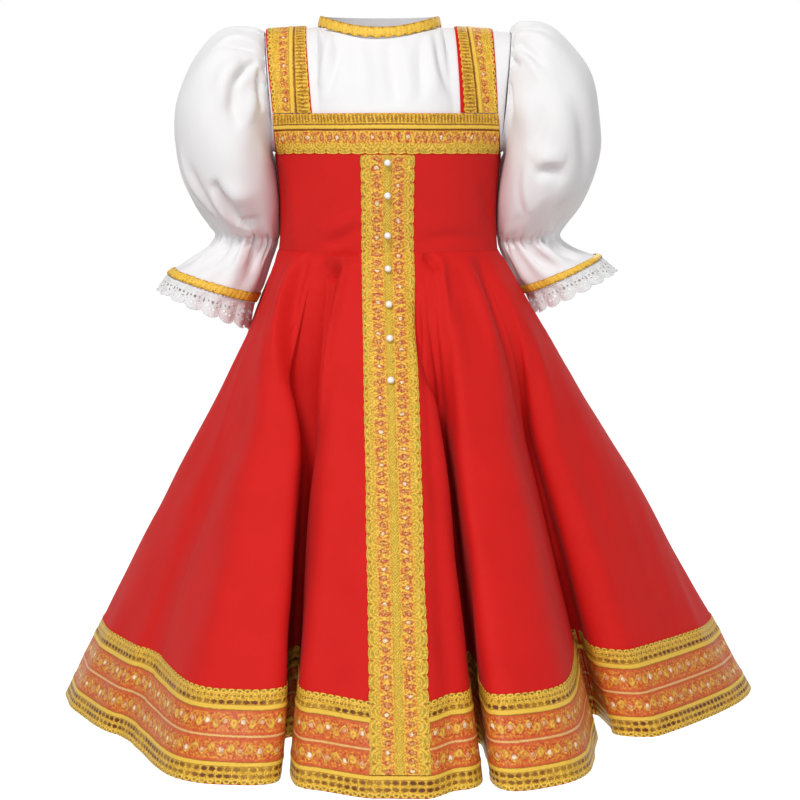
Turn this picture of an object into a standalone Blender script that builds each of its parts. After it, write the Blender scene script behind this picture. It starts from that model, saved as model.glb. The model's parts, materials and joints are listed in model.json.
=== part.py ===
"""A child's folk sarafan dress over its puff-sleeved blouse, filled out as if worn and hollow all through.

Metres, +Z up. The origin is the middle of the shoulder line, the front faces -Y, and left and right are the viewer's.
Every piece of cloth is a closed wall between two skins, laid off a few smooth surfaces: torso(), skirt() and sleeve().
"""

import math

import bmesh
import bpy
import numpy as np

NAME = "folk_sarafan_dress"


def table(columns, *rows):
    """Rows of numbers, as one array for each named column."""
    return {name: np.array(values, float) for name, values in zip(columns.split(), zip(*rows))}


def rows_of(named):
    """A table's rows, one dict each."""
    count = len(next(iter(named.values())))
    return [{name: column[row] for name, column in named.items()} for row in range(count)]


# Levels, with the shoulders at zero
HEM_Z = -0.7415
WAIST_Z = -0.243
UNDERARM_Z = -0.1385
BODICE_TOP_Z = -0.096
CHEST_BRAID_DEPTH = 0.017

# Inner and outer skin of each layer of cloth, as distances from the blouse's outer face
BLOUSE_SKINS = (-0.0012, 0.0)
RED_SKINS = (0.0003, 0.0015)
TRIM_SKINS = (0.0018, 0.0028)
OVER_TRIM_SKINS = (0.0031, 0.0041)
CUFF_BRAID_SKINS = (0.0007, 0.0017)
LACE_SKINS = (-0.0010, 0.0)
SEAM_GAP = 0.0003

# The chest, cut across at three levels
TORSO = table(
    "level half_width front back",
    (WAIST_Z, 0.1190, 0.088, 0.080),
    (-0.1900, 0.1180, 0.093, 0.082),
    (UNDERARM_Z, 0.1225, 0.098, 0.085),
)

# Neck and shoulders
NECK_ANGLE = 35.0
NECK_HALF_WIDTH = 0.0675
NECK_FRONT_DEPTH = 0.060
NECK_BACK_DEPTH = 0.050
NECK_Z = -0.003
NECK_FRONT_DROP = 0.0140
NECK_BRAID_WIDTH = 0.0128
NECK_BRAID_LEAN = 0.22
NECK_BRAID_THICKNESS = 0.0012
# The neck hangs a little to the viewer's left, and shift says how far each place on the shoulder goes with it
SHOULDER = table(
    "angle x z shift",
    (NECK_ANGLE, NECK_HALF_WIDTH, NECK_Z, -0.0090),
    (38.5, 0.0805, -0.0032, -0.0085),
    (74.5, 0.1225, -0.0058, -0.0095),
    (90.0, 0.1335, -0.0085, 0.0),
)
ARMHOLE_REACH = 0.168
CHEST_CLIMB = 0.130
NECK_CLIMB = 0.100
NECK_LEAN = 0.045
ARM_BLEND_ANGLE = 50.0

# Columns of the torso, in degrees from the centre: the neck ends at the sixth, the straps fill the seventh to the tenth
HALF_COLUMNS = (0.0, 6.7, 13.45, 20.0, 27.5, 35.0, 38.5, 50.5, 62.5, 74.5, 90.0)
BAND_EDGE = HALF_COLUMNS[2]
STRAP_INNER = HALF_COLUMNS[6]
STRAP_OUTER = HALF_COLUMNS[9]
STRAP_ROWS = 5
STRAP_BRAID_MARGIN = 0.0012

# Rows of the torso grid
WAIST_ROW = 0
UNDERARM_ROW = 2
BRAID_ROW = 3
BODICE_TOP_ROW = 4

# The hem's folds, one row each, from the middle of the back round by the viewer's left. waist and spread are bearings
# at the waist, x and y are at the hem, facing is the way the fold looks, and a set_back below zero opens outwards.
FOLDS = table(
    "waist spread x y facing half_width set_back points",
    (-180, 8.0, 0.000, 0.335, 180, 0.055, 0.018, 3),
    (-159, 3.0, -0.105, 0.225, -158, 0.016, -0.040, 4),
    (-139, 7.0, -0.195, 0.268, -143, 0.045, 0.016, 3),
    (-121, 3.0, -0.238, 0.145, -120, 0.016, -0.035, 4),
    (-90, 10.0, -0.361, -0.005, -91, 0.070, 0.016, 3),
    (-66, 4.0, -0.272, -0.200, -57, 0.035, -0.004, 4),
    (-52, 4.0, -0.158, -0.353, -8, 0.048, 0.012, 3),
    (-36, 5.0, -0.100, -0.190, -2, 0.010, -0.080, 4),
    (-21, 3.0, -0.083, -0.362, -48, 0.020, 0.008, 3),
    (0, 13.45, 0.014, -0.397, 0, 0.0285, 0.001, 5),
    (15.5, 0.8, 0.082, -0.366, 45, 0.018, 0.007, 3),
    (19, 1.6, 0.090, -0.210, 4, 0.009, -0.060, 4),
    (37, 9.0, 0.158, -0.360, 28, 0.044, 0.012, 3),
    (57, 4.0, 0.222, -0.105, 6, 0.009, -0.050, 4),
    (70, 4.0, 0.275, -0.192, 12, 0.030, 0.016, 3),
    (90, 9.0, 0.409, 0.018, 95, 0.065, 0.022, 3),
    (121, 3.0, 0.262, 0.145, 119, 0.016, -0.035, 4),
    (139, 7.0, 0.205, 0.266, 143, 0.045, 0.016, 3),
    (159, 3.0, 0.105, 0.225, 158, 0.016, -0.040, 4),
)
FOLD_STEPS = {3: (-1, 0, 1), 4: (-1, -0.55, 0.55, 1), 5: (-1, -0.5, 0, 0.5, 1)}
RIDGE_POWER = 2
VALLEY_POWER = 5
BAND_HALF_COLUMNS = 2
SHARPEST_HALF_TURN = 0.6
SKIRT_FALLS = (0.72, 0.50, 0.34, 0.21, 0.10, 0.0)
FOLD_START_FALL = 0.42

# The hem as it would hang with no folds, which the skirt follows near the waist: an ellipse's middle and half widths
PLAIN_HEM = (0.0255, -0.030, 0.3865, 0.355)
# How the band's bearings are laid on that ellipse: their share of the spread, their turn, and where both fade out
BAND_SPREAD = 0.31
BAND_TURN = -1.7
BAND_BLEND = (14.0, 24.0)

# Where the skirt's sides leave their straight lines: they give way to the arms, swell behind them, and bow a little
SIDES = table(
    "bearing width fall inward",
    (-91.0, 11.5, 0.17, 0.016),
    (94.0, 11.5, 0.17, 0.012),
    (-119.0, 9.0, 0.20, -0.014),
    (122.0, 9.0, 0.20, -0.014),
    (-88.0, 25.0, 0.50, 0.003),
    (88.0, 25.0, 0.50, -0.006),
)

# Hem trims, as distances up from the edge
HEM_LINES = (0.0, 0.022, 0.073, 0.095)

# The right sleeve, a row for each ring from the armhole to the lace's edge. The last rows are the casing's elastic,
# two in the frill, the frill's edge and the lace's edge.
SLEEVE = table(
    "outer_x outer_z inner_x inner_z half_depth y gather",
    (0.1275, -0.0080, 0.1230, -0.1385, 0.042, 0.000, 0.0),
    (0.1450, -0.0005, 0.1262, -0.1372, 0.056, -0.002, 0.0015),
    (0.1790, -0.0050, 0.1258, -0.1500, 0.068, -0.005, 0.0022),
    (0.2090, -0.0340, 0.1240, -0.1630, 0.074, -0.006, 0.0015),
    (0.2280, -0.0750, 0.1222, -0.1780, 0.076, -0.006, 0.0005),
    (0.2325, -0.1180, 0.1210, -0.1940, 0.074, -0.003, 0.0003),
    (0.2280, -0.1600, 0.1206, -0.2080, 0.068, 0.001, 0.0010),
    (0.2130, -0.1930, 0.1206, -0.2200, 0.056, 0.004, 0.0020),
    (0.1980, -0.2170, 0.1210, -0.2310, 0.043, 0.007, 0.0025),
    (0.1915, -0.2290, 0.1216, -0.2390, 0.034, 0.009, 0.0020),
    (0.2030, -0.2430, 0.1275, -0.2560, 0.038, 0.010, 0.0030),
    (0.2280, -0.2600, 0.1370, -0.2830, 0.044, 0.010, 0.0025),
    (0.2450, -0.2716, 0.1475, -0.3030, 0.048, 0.010, 0.0010),
    (0.2570, -0.2880, 0.1530, -0.3320, 0.050, 0.010, 0.0015),
)
# How the sleeve on the viewer's right differs: its cap is fuller and its cuff is held further out
RIGHT_SLEEVE_SHIFT = table(
    "ring outer_x outer_z inner_x inner_z",
    (1, 0.000, 0.004, 0.000, 0.000),
    (2, 0.000, 0.004, 0.000, 0.000),
    (10, -0.001, 0.004, 0.000, 0.002),
    (11, -0.004, 0.011, 0.002, 0.006),
    (12, -0.008, 0.0186, 0.0045, 0.010),
    (13, -0.003, 0.0210, 0.0070, 0.017),
)
SLEEVE_COLUMNS = 40
GATHERS = 10
CUFF_EDGE_RING = 12
LACE_EDGE_RING = 13
CUFF_BRAID_START = 11.45
ARMHOLE_GAP = 0.0006

# Lace edging: scallops in each half of a cuff, one eyelet in each
SCALLOPS = 8
LACE_TOP = 0.03
LACE_NOTCH = 0.80
LACE_SEAM_ANGLE = 0.15
SCALLOP_EDGE = ((0.78, 0.95), (0.5, 1.0), (0.22, 0.95))
EYELET_CENTER = 0.50
EYELET_RADIUS = (0.145, 0.122)
EYELET_ANGLES = (-135, -90, -45, 15, 55, 90, 125, 165)

# Pearls down the centre band
PEARL_RADIUS = 0.00375
PEARL_LEVELS = (-0.1468, -0.1814, -0.2237, -0.2620, -0.2977, -0.3315, -0.3728)

WHITE = (0.86, 0.85, 0.86)
LACE_WHITE = (0.80, 0.79, 0.80)
RED = (0.58, 0.020, 0.020)
GOLD = (0.66, 0.42, 0.07)
ORANGE = (0.52, 0.17, 0.05)
PEARL = (0.88, 0.84, 0.78)


def smooth(x):
    x = np.clip(x, 0, 1)
    return x * x * (3 - 2 * x)


def hermite(start, start_slope, end, end_slope, t):
    return (
        (2 * t**3 - 3 * t**2 + 1) * start
        + (t**3 - 2 * t**2 + t) * start_slope
        + (3 * t**2 - 2 * t**3) * end
        + (t**3 - t**2) * end_slope
    )


def unit(vectors):
    return vectors / np.linalg.norm(vectors, axis=-1, keepdims=True)


def stacked(x, y, z):
    return np.stack(np.broadcast_arrays(x, y, z), axis=-1).astype(float)


def torso_size(column, level, slope=False):
    """A width or depth of the chest at a level, on the smooth curve through the table's rows."""
    curve = np.polyfit(TORSO["level"], TORSO[column], len(TORSO["level"]) - 1)
    return np.polyval(np.polyder(curve) if slope else curve, level)


def crown(angle, back):
    """The neckline, and past its corner the top of the shoulder."""
    toward = 1 if back else -1
    depth = NECK_BACK_DEPTH if back else NECK_FRONT_DEPTH
    drop = 0.0 if back else NECK_FRONT_DROP
    size = np.abs(angle)
    turn = np.radians(90 * np.clip(size / NECK_ANGLE, 0, 1))
    on_neck = size <= NECK_ANGLE
    x = np.where(on_neck, NECK_HALF_WIDTH * np.sin(turn), np.interp(size, SHOULDER["angle"], SHOULDER["x"]))
    z = np.where(on_neck, NECK_Z - drop * np.cos(turn) ** 2, np.interp(size, SHOULDER["angle"], SHOULDER["z"]))
    shift = np.interp(size, SHOULDER["angle"], SHOULDER["shift"])
    return stacked(np.sign(angle) * x + shift, toward * depth * np.cos(turn), z)


def torso(angle, rise, back=False):
    """The blouse's outer face. angle runs from -90 to 90 degrees across the front or back, and rise is 0 at the waist,
    1 at the underarm and 2 at the neckline and shoulders."""
    angle, rise = np.broadcast_arrays(np.asarray(angle, float), np.asarray(rise, float))
    toward = 1 if back else -1
    face = "back" if back else "front"
    across, along = np.sin(np.radians(angle)), toward * np.cos(np.radians(angle))
    level = WAIST_Z + (UNDERARM_Z - WAIST_Z) * np.clip(rise, 0, 1)
    lower = stacked(torso_size("half_width", level) * across, torso_size(face, level) * along, level)
    widening = torso_size("half_width", UNDERARM_Z, slope=True) * across
    deepening = torso_size(face, UNDERARM_Z, slope=True) * along
    to_arm = smooth((np.abs(angle) - ARM_BLEND_ANGLE) / (90 - ARM_BLEND_ANGLE))[..., None]
    to_shoulder = smooth(np.abs(angle) / NECK_ANGLE)[..., None]
    climb = CHEST_CLIMB * stacked(widening, deepening, 1.0)
    out = np.array((0.0, toward * ARMHOLE_REACH, 0.0))
    into_neck = np.array((0.0, -toward * NECK_LEAN, NECK_CLIMB))
    start_slope = (1 - to_arm) * climb + to_arm * out
    end_slope = (1 - to_shoulder) * into_neck - to_shoulder * out
    upper = hermite(lower, start_slope, crown(angle, back), end_slope, np.clip(rise - 1, 0, 1)[..., None])
    return np.where(rise[..., None] <= 1, lower, upper)


def torso_normals(angle, rise, back=False):
    step = 1e-3
    angle, rise = np.broadcast_arrays(np.asarray(angle, float), np.asarray(rise, float))
    high = np.where(rise <= 1, np.minimum(rise + step, 1), np.minimum(rise + step, 2))
    low = np.where(rise <= 1, np.maximum(rise - step, 0), rise - step)
    right, left = np.minimum(angle + step, 90), np.maximum(angle - step, -90)
    across = torso(right, rise, back) - torso(left, rise, back)
    upward = torso(angle, high, back) - torso(angle, low, back)
    return unit(np.cross(across, upward)) * (-1 if back else 1)


def rise_at(angle, level, back):
    """Where a column of the torso above the underarm passes a level."""
    rises = np.linspace(1, 2, 201)
    levels = torso(angle, rises, back)[:, 2]
    return float(np.interp(level, levels, rises))


def torso_rises(angles, back):
    """A row of rises for each row of the torso grid."""
    braid = [rise_at(a, BODICE_TOP_Z - CHEST_BRAID_DEPTH, back) for a in angles]
    top = np.array([rise_at(a, BODICE_TOP_Z, back) for a in angles])
    rows = [0 * top, 0 * top + 0.5, 0 * top + 1.0, np.array(braid)]
    rows += [top + (2.0 - top) * step / STRAP_ROWS for step in range(STRAP_ROWS + 1)]
    return np.array(rows)


def torso_grid(back):
    """Points and normals of the front or back, with the columns running to the right as its own viewer sees them."""
    angles = np.array([-a for a in HALF_COLUMNS[:0:-1]] + list(HALF_COLUMNS))
    angles = angles[::-1] if back else angles
    rises = torso_rises(angles, back)
    return angles, torso(angles, rises, back), torso_normals(angles, rises, back)


def fold_points():
    """x, y and waist bearing of every control point of the hem."""
    points = []
    for fold in rows_of(FOLDS):
        facing = math.radians(fold["facing"])
        power = RIDGE_POWER if fold["set_back"] > 0 else VALLEY_POWER
        for step in FOLD_STEPS[int(fold["points"])]:
            along = fold["half_width"] * step
            back = fold["set_back"] * abs(step) ** power
            x = fold["x"] + along * math.cos(facing) - back * math.sin(facing)
            y = fold["y"] + along * math.sin(facing) + back * math.cos(facing)
            points.append((x, y, fold["waist"] + fold["spread"] * step))
    return np.array(points)


def closed_spline(points, period, station):
    """A smooth closed curve through the points, at stations counted in points."""
    count = len(points)
    wrapped = np.vstack([points[-2:] - period, points, points[:3] + period])
    gaps = np.linalg.norm(np.diff(wrapped[:, :2], axis=0), axis=1)[:, None] ** 0.5
    slopes = np.diff(wrapped, axis=0) / gaps
    tangents = (slopes[:-1] * gaps[1:] + slopes[1:] * gaps[:-1]) / (gaps[1:] + gaps[:-1])
    station = np.asarray(station, float) % count
    index = np.floor(station).astype(int)
    gap = gaps[index + 2]
    return hermite(
        wrapped[index + 2],
        tangents[index + 1] * gap,
        wrapped[index + 3],
        tangents[index + 2] * gap,
        (station - index)[..., None],
    )


HEM_POINTS = fold_points()


def skirt_ends(station):
    """Waist point, hem point and waist bearing of one straight line down the skirt."""
    x, y, bearing = np.moveaxis(closed_spline(HEM_POINTS, np.array((0, 0, 360.0)), station), -1, 0)
    bearing = (bearing + 180) % 360 - 180
    behind = np.abs(bearing) > 90
    angle = np.where(behind, np.sign(bearing) * (180 - np.abs(bearing)), bearing)
    waist = np.where(behind[..., None], torso(angle, 0.0, back=True), torso(angle, 0.0))
    return waist, stacked(x, y, HEM_Z), bearing


def plain_bearing(bearing):
    """Where a waist bearing meets the plain hem. The band keeps its width, so its bearings spread less than others."""
    low, high = BAND_BLEND
    across = smooth((high - np.abs(bearing)) / (high - low))
    return bearing + across * (BAND_TURN - (1 - BAND_SPREAD) * bearing)


def skirt(station, fall):
    """The skirt's face, whose folds start below the waist. fall is 0 at the waist, 1 at the hem."""
    station, fall = np.broadcast_arrays(np.asarray(station, float), np.asarray(fall, float))
    waist, hem, bearing = skirt_ends(station)
    turn = np.radians(bearing)
    plain_turn = np.radians(plain_bearing(bearing))
    middle_x, middle_y, half_width, half_depth = PLAIN_HEM
    plain = stacked(middle_x + half_width * np.sin(plain_turn), middle_y - half_depth * np.cos(plain_turn), HEM_Z)
    hem = plain + (hem - plain) * smooth(fall / FOLD_START_FALL)[..., None]
    inward = 0.0
    for side in rows_of(SIDES):
        across = np.exp(-(((bearing - side["bearing"]) / side["width"]) ** 2))
        down = fall / side["fall"]
        along = (down * np.exp(1 - down)) ** 2 * (1 - fall) / (1 - side["fall"])
        inward = inward + side["inward"] * across * along
    inward = inward[..., None] * stacked(-np.sin(turn), np.cos(turn), 0.0)
    return waist + (hem - waist) * fall[..., None] + inward


def skirt_normals(station, fall):
    """Outward normals, lengthened at sharp turns so that the wall keeps its thickness, and level at the waist."""
    step = 2e-3
    high, low = np.maximum(fall - step, 0), np.minimum(fall + step, 1)
    across = skirt(station + step, fall) - skirt(station - step, fall)
    normals = unit(np.cross(across, skirt(station, high) - skirt(station, low)))
    points = skirt(station, fall)
    before = unit(points - np.roll(points, 1, axis=1))
    after = unit(np.roll(points, -1, axis=1) - points)
    half_turn = np.sqrt((1 + np.sum(before * after, axis=-1, keepdims=True)) / 2)
    normals[..., 2] *= np.where(fall == 0, 0, 1)
    return unit(normals) / np.maximum(half_turn, SHARPEST_HALF_TURN)


def skirt_stations():
    """Every control point of the hem, and a point midway between each fold and the next."""
    stations, start = [], 0
    for count in FOLDS["points"].astype(int):
        stations += list(range(start, start + count)) + [start + count - 0.5]
        start += count
    return np.array(stations, float)


def skirt_grid():
    """Points and normals of the whole skirt, with its rows running up from the hem."""
    stations = skirt_stations()
    waist, hem, bearing = skirt_ends(stations)
    slant = np.linalg.norm(hem - waist, axis=-1)
    rows = [1 - line / slant for line in HEM_LINES] + [0 * slant + fall for fall in SKIRT_FALLS]
    falls = np.array(rows)
    stations = np.broadcast_to(stations, falls.shape)
    return stations[0], skirt(stations, falls), skirt_normals(stations, falls)


def sleeve_ring(side, ring):
    """The sleeve table's columns at a place between rings, on a smooth curve."""
    rows = np.stack([SLEEVE[name] for name in SLEEVE], axis=-1)
    if side > 0:
        for index, shift in enumerate(RIGHT_SLEEVE_SHIFT["ring"].astype(int)):
            rows[shift, :4] += [RIGHT_SLEEVE_SHIFT[name][index] for name in list(SLEEVE)[:4]]
    rows = np.vstack([2 * rows[0] - rows[1], rows, 2 * rows[-1] - rows[-2]])
    index = np.minimum(np.floor(ring).astype(int), len(rows) - 4)
    slopes = [(rows[index + 2 + k] - rows[index + k]) / 2 for k in (0, 1)]
    values = hermite(rows[index + 1], slopes[0], rows[index + 2], slopes[1], (ring - index)[..., None])
    return dict(zip(SLEEVE, np.moveaxis(values, -1, 0)))


def armhole(turn):
    """The edge that the blouse leaves for the right sleeve. turn is 0 on top of the shoulder and 90 at the front."""
    height = (1 + np.cos(np.radians(turn))) / 2
    rise = 1.5 - np.sin(np.arcsin(1 - 2 * height) / 3)
    at_back = (np.sin(np.radians(turn)) < 0)[..., None]
    edge = np.where(at_back, torso(90.0, rise, back=True), torso(90.0, rise))
    return edge + np.array((ARMHOLE_GAP, 0, 0))


def sleeve(side, turn, ring):
    """A sleeve's outer face. side is 1 at the viewer's right, turn is 0 on its outer side and 90 at the front, and
    ring counts the rows of the sleeve's table."""
    turn, ring = np.broadcast_arrays(np.asarray(turn, float), np.asarray(ring, float))
    row = sleeve_ring(side, ring)
    cosine, sine = np.cos(np.radians(turn)), np.sin(np.radians(turn))
    from_center = stacked(
        (row["outer_x"] - row["inner_x"]) / 2 * cosine,
        -row["half_depth"] * sine,
        (row["outer_z"] - row["inner_z"]) / 2 * cosine,
    )
    center = stacked((row["outer_x"] + row["inner_x"]) / 2, row["y"], (row["outer_z"] + row["inner_z"]) / 2)
    drawn_in = row["gather"] * (1 - np.cos(np.radians(GATHERS * turn))) / 2
    points = center + from_center - unit(from_center) * drawn_in[..., None]
    seated = smooth(ring)[..., None]
    points = armhole(turn) * (1 - seated) + points * seated
    return points * np.array((side, 1, 1))


def sleeve_normals(side, turn, ring):
    turn, ring = np.broadcast_arrays(np.asarray(turn, float), np.asarray(ring, float))
    around = sleeve(side, turn + 0.1, ring) - sleeve(side, turn - 0.1, ring)
    along = sleeve(side, turn, np.minimum(ring + 1e-3, LACE_EDGE_RING)) - sleeve(side, turn, np.maximum(ring - 1e-3, 0))
    return unit(np.cross(around, along)) * side


def grid_faces(rows, columns, closed=False, keep=None):
    """Quads of a grid of points. keep(row, column) says which cells are there."""
    faces = []
    for row in range(rows - 1):
        for column in range(columns if closed else columns - 1):
            if keep and not keep(row, column):
                continue
            beside = (column + 1) % columns
            here, above = row * columns, (row + 1) * columns
            faces.append((here + column, here + beside, above + beside, above + column))
    return faces


def triangles(points, faces):
    """Quads cut along their shorter diagonals, so that layers laid on the same points are cut alike."""
    points = points.reshape(-1, 3)
    cut = []
    for a, b, c, d in faces:
        if np.linalg.norm(points[a] - points[c]) <= np.linalg.norm(points[b] - points[d]):
            cut += [(a, b, c), (a, c, d)]
        else:
            cut += [(b, c, d), (b, d, a)]
    return cut


def drawn_back(points, sides):
    """A panel's points with the named edges drawn back by half a seam's gap."""
    points = points.copy()
    rows_and_columns = {"bottom": (0, 1), "top": (-1, -2)}
    for side in sides.split():
        turned = side in ("left", "right")
        view = points.transpose(1, 0, 2) if turned else points
        edge, beside = {"left": (0, 1), "right": (-1, -2)}[side] if turned else rows_and_columns[side]
        view[edge] += unit(view[beside] - view[edge]) * SEAM_GAP / 2
    return points


def cloth_material(name, color, roughness, metallic):
    material = bpy.data.materials.new(name)
    material.use_nodes = True
    shader = material.node_tree.nodes["Principled BSDF"]
    shader.inputs["Base Color"].default_value = (*color, 1.0)
    shader.inputs["Roughness"].default_value = roughness
    shader.inputs["Metallic"].default_value = metallic
    return material


def finish_object(name, mesh, collection, color, roughness=0.8, metallic=0.0):
    mesh.shade_smooth()
    mesh.set_sharp_from_angle(angle=math.radians(50))
    piece = bpy.data.objects.new(name, mesh)
    piece.data.materials.append(cloth_material(name, color, roughness, metallic))
    collection.objects.link(piece)
    return piece


def wall(name, points, normals, faces, skins, collection, color, roughness=0.8, metallic=0.0):
    """One closed wall: the faces laid at both skins' distances along the normals, and a rim along every open edge."""
    points, normals = points.reshape(-1, 3), normals.reshape(-1, 3)
    low, high = (np.broadcast_to(np.ravel(skin), len(points))[:, None] for skin in skins)
    used = sorted({index for face in faces for index in face})
    place = {index: number for number, index in enumerate(used)}
    outer = [tuple(place[index] for index in face) for face in faces]
    count = len(used)
    vertices = np.vstack([(points + normals * high)[used], (points + normals * low)[used]])
    edges = {(face[i - 1], face[i]) for face in outer for i in range(len(face))}
    inner = [tuple(index + count for index in reversed(face)) for face in outer]
    rims = [(b, a, a + count, b + count) for a, b in sorted(edges) if (b, a) not in edges]
    mesh = bpy.data.meshes.new(name)
    mesh.from_pydata(vertices.tolist(), [], outer + inner + rims)
    mesh.validate()
    return finish_object(name, mesh, collection, color, roughness, metallic)


def panel(name, points, normals, sides, skins, collection, color, closed=False, keep=None, **finish):
    """A wall on a whole grid of points, its sewn edges drawn back."""
    faces = triangles(points, grid_faces(*points.shape[:2], closed=closed, keep=keep))
    return wall(name, drawn_back(points, sides), normals, faces, skins, collection, color, **finish)


def make_blouse(collection):
    for face, back in (("front", False), ("back", True)):
        angles, points, normals = torso_grid(back)
        sewn = "bottom top left right"
        panel(f"blouse_{face}", points, normals, sewn, BLOUSE_SKINS, collection, WHITE)
        inside = np.abs(angles) <= STRAP_OUTER
        rows = slice(BODICE_TOP_ROW + 1)

        def keep(row, column):
            return row < UNDERARM_ROW or (inside[column] and inside[column + 1])

        panel(f"bodice_{face}", points[rows], normals[rows], sewn, RED_SKINS, collection, RED, keep=keep)


def make_neck_braid(collection):
    """A ring on the neckline's edge, leaning in as it rises."""
    quarter = [a for a in HALF_COLUMNS if a <= NECK_ANGLE]
    across = [-a for a in quarter[:0:-1]] + quarter
    edge = np.vstack([crown(np.array(across), False), crown(np.array(across[-2:0:-1]), True)])
    sideways = (edge[:, 0] - SHOULDER["shift"][0]) / NECK_HALF_WIDTH**2
    outward = unit(stacked(sideways, edge[:, 1] / NECK_FRONT_DEPTH**2, 0.0))
    upward = unit(np.array((0, 0, 1.0)) - NECK_BRAID_LEAN * outward)
    points = np.stack([edge + upward * SEAM_GAP, edge + upward * NECK_BRAID_WIDTH])
    skins = (-NECK_BRAID_THICKNESS, 0.0)
    panel("neck_braid", points, np.stack([outward, outward]), "", skins, collection, GOLD, closed=True)


def make_straps(collection):
    """Each strap runs from the front's top edge over the shoulder to the back's, with a braid on it."""
    angles = np.array([a for a in HALF_COLUMNS if STRAP_INNER <= a <= STRAP_OUTER])
    for side_name, side in (("left", -1), ("right", 1)):
        columns = np.sort(angles * side)
        front = torso_rises(columns, False)[BODICE_TOP_ROW:]
        back = torso_rises(columns, True)[BODICE_TOP_ROW:][::-1][1:]
        points = np.vstack([torso(columns, front), torso(columns, back, back=True)])
        normals = np.vstack([torso_normals(columns, front), torso_normals(columns, back, back=True)])
        panel(f"strap_{side_name}", points, normals, "bottom top", RED_SKINS, collection, RED)
        braid = points.copy()
        for edge, beside in ((0, 1), (-1, -2)):
            braid[:, edge] += unit(points[:, beside] - points[:, edge]) * STRAP_BRAID_MARGIN
        panel(f"strap_braid_{side_name}", braid, normals, "bottom top", TRIM_SKINS, collection, GOLD, roughness=0.5)


def make_chest_trims(collection):
    angles, points, normals = torso_grid(back=False)
    inside = np.abs(angles) <= STRAP_OUTER
    rows = {"chest_braid": (BRAID_ROW, BODICE_TOP_ROW, GOLD), "chest_band": (UNDERARM_ROW, BRAID_ROW, ORANGE)}
    for name, (low, high, color) in rows.items():
        part = slice(low, high + 1)
        panel(name, points[part][:, inside], normals[part][:, inside], "bottom top", TRIM_SKINS, collection, color)


def columns_between(stations, start, end):
    return np.where((stations >= start) & (stations <= end))[0]


def make_skirt(collection):
    """Four panels, their seams at the centre front, the sides and the centre back, and the trims all round the hem."""
    stations, points, normals = skirt_grid()
    firsts = np.cumsum(np.append(0, FOLDS["points"])).astype(int)
    middle = {waist: firsts[row] + (FOLDS["points"][row] - 1) / 2 for row, waist in enumerate(FOLDS["waist"])}
    end = float(firsts[-1])
    seams = (middle[-180], middle[-90], middle[0], middle[90], middle[-180] + end)
    names = ("skirt_back_left", "skirt_front_left", "skirt_front_right", "skirt_back_right")
    around = np.append(stations, stations + end)
    for name, start, stop in zip(names, seams[:-1], seams[1:]):
        columns = columns_between(around, start, stop) % len(stations)
        panel(name, points[:, columns], normals[:, columns], "top left right", RED_SKINS, collection, RED)
    trims = {"hem_braid_lower": (0, GOLD), "hem_ribbon": (1, ORANGE), "hem_braid_upper": (2, GOLD)}
    for name, (row, color) in trims.items():
        part = slice(row, row + 2)
        sides = {0: "top", 1: "bottom top", 2: "bottom"}[row]
        panel(name, points[part], normals[part], sides, TRIM_SKINS, collection, color, closed=True)
    return middle[0], stations, points, normals


def make_center_band(collection, center, stations, skirt_points, skirt_facing):
    """The band down the front, from the chest band to the lowest hem braid, over the other hem trims."""
    angles, torso_points, torso_facing = torso_grid(back=False)
    chest_columns = np.where(np.abs(angles) <= BAND_EDGE)[0]
    skirt_columns = columns_between(stations, center - BAND_HALF_COLUMNS, center + BAND_HALF_COLUMNS)
    lower = slice(1, None)
    upper = slice(WAIST_ROW + 1, UNDERARM_ROW + 1)
    points = np.vstack([skirt_points[lower][:, skirt_columns], torso_points[upper][:, chest_columns]])
    normals = np.vstack([skirt_facing[lower][:, skirt_columns], torso_facing[upper][:, chest_columns]])
    over_trims = (np.arange(len(points)) < len(HEM_LINES) - 1)[:, None] * np.ones(len(skirt_columns))
    skins = [TRIM_SKINS[k] + (OVER_TRIM_SKINS[k] - TRIM_SKINS[k]) * over_trims for k in (0, 1)]
    panel("center_band", points, normals, "bottom top", skins, collection, GOLD, roughness=0.5)


def band_center(center, level):
    """A point on the middle of the front and its normal, at a level."""
    if level > WAIST_Z:
        rise = (level - WAIST_Z) / (UNDERARM_Z - WAIST_Z)
        return torso(0.0, rise), torso_normals(0.0, rise)
    fall = (level - WAIST_Z) / (HEM_Z - WAIST_Z)
    stations = np.array([[center - 1, center, center + 1]])
    return skirt(center, fall), skirt_normals(stations, np.full((1, 3), fall))[0, 1]


def make_pearls(collection, center):
    for number, level in enumerate(PEARL_LEVELS, start=1):
        point, normal = band_center(center, level)
        name = f"pearl_{number}"
        ball = bmesh.new()
        bmesh.ops.create_uvsphere(ball, u_segments=8, v_segments=6, radius=PEARL_RADIUS)
        mesh = bpy.data.meshes.new(name)
        ball.to_mesh(mesh)
        ball.free()
        pearl = finish_object(name, mesh, collection, PEARL, roughness=0.25)
        pearl.location = point + unit(normal) * (TRIM_SKINS[1] + SEAM_GAP + PEARL_RADIUS)


def around_sleeve(side):
    """Bearings round a sleeve, in the order that makes its faces look outwards."""
    return np.arange(SLEEVE_COLUMNS) * 360 / SLEEVE_COLUMNS * side


def make_sleeves(collection):
    for side_name, side in (("left", -1), ("right", 1)):
        turns = around_sleeve(side)
        rings = np.arange(CUFF_EDGE_RING + 1)[:, None].astype(float)
        name = f"sleeve_{side_name}"
        points, normals = sleeve(side, turns, rings), sleeve_normals(side, turns, rings)
        panel(name, points, normals, "", BLOUSE_SKINS, collection, WHITE, closed=True)
        rings = np.array([[CUFF_BRAID_START], [CUFF_EDGE_RING - 0.01]])
        name = f"cuff_braid_{side_name}"
        points, normals = sleeve(side, turns, rings), sleeve_normals(side, turns, rings)
        panel(name, points, normals, "", CUFF_BRAID_SKINS, collection, GOLD, closed=True)


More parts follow.
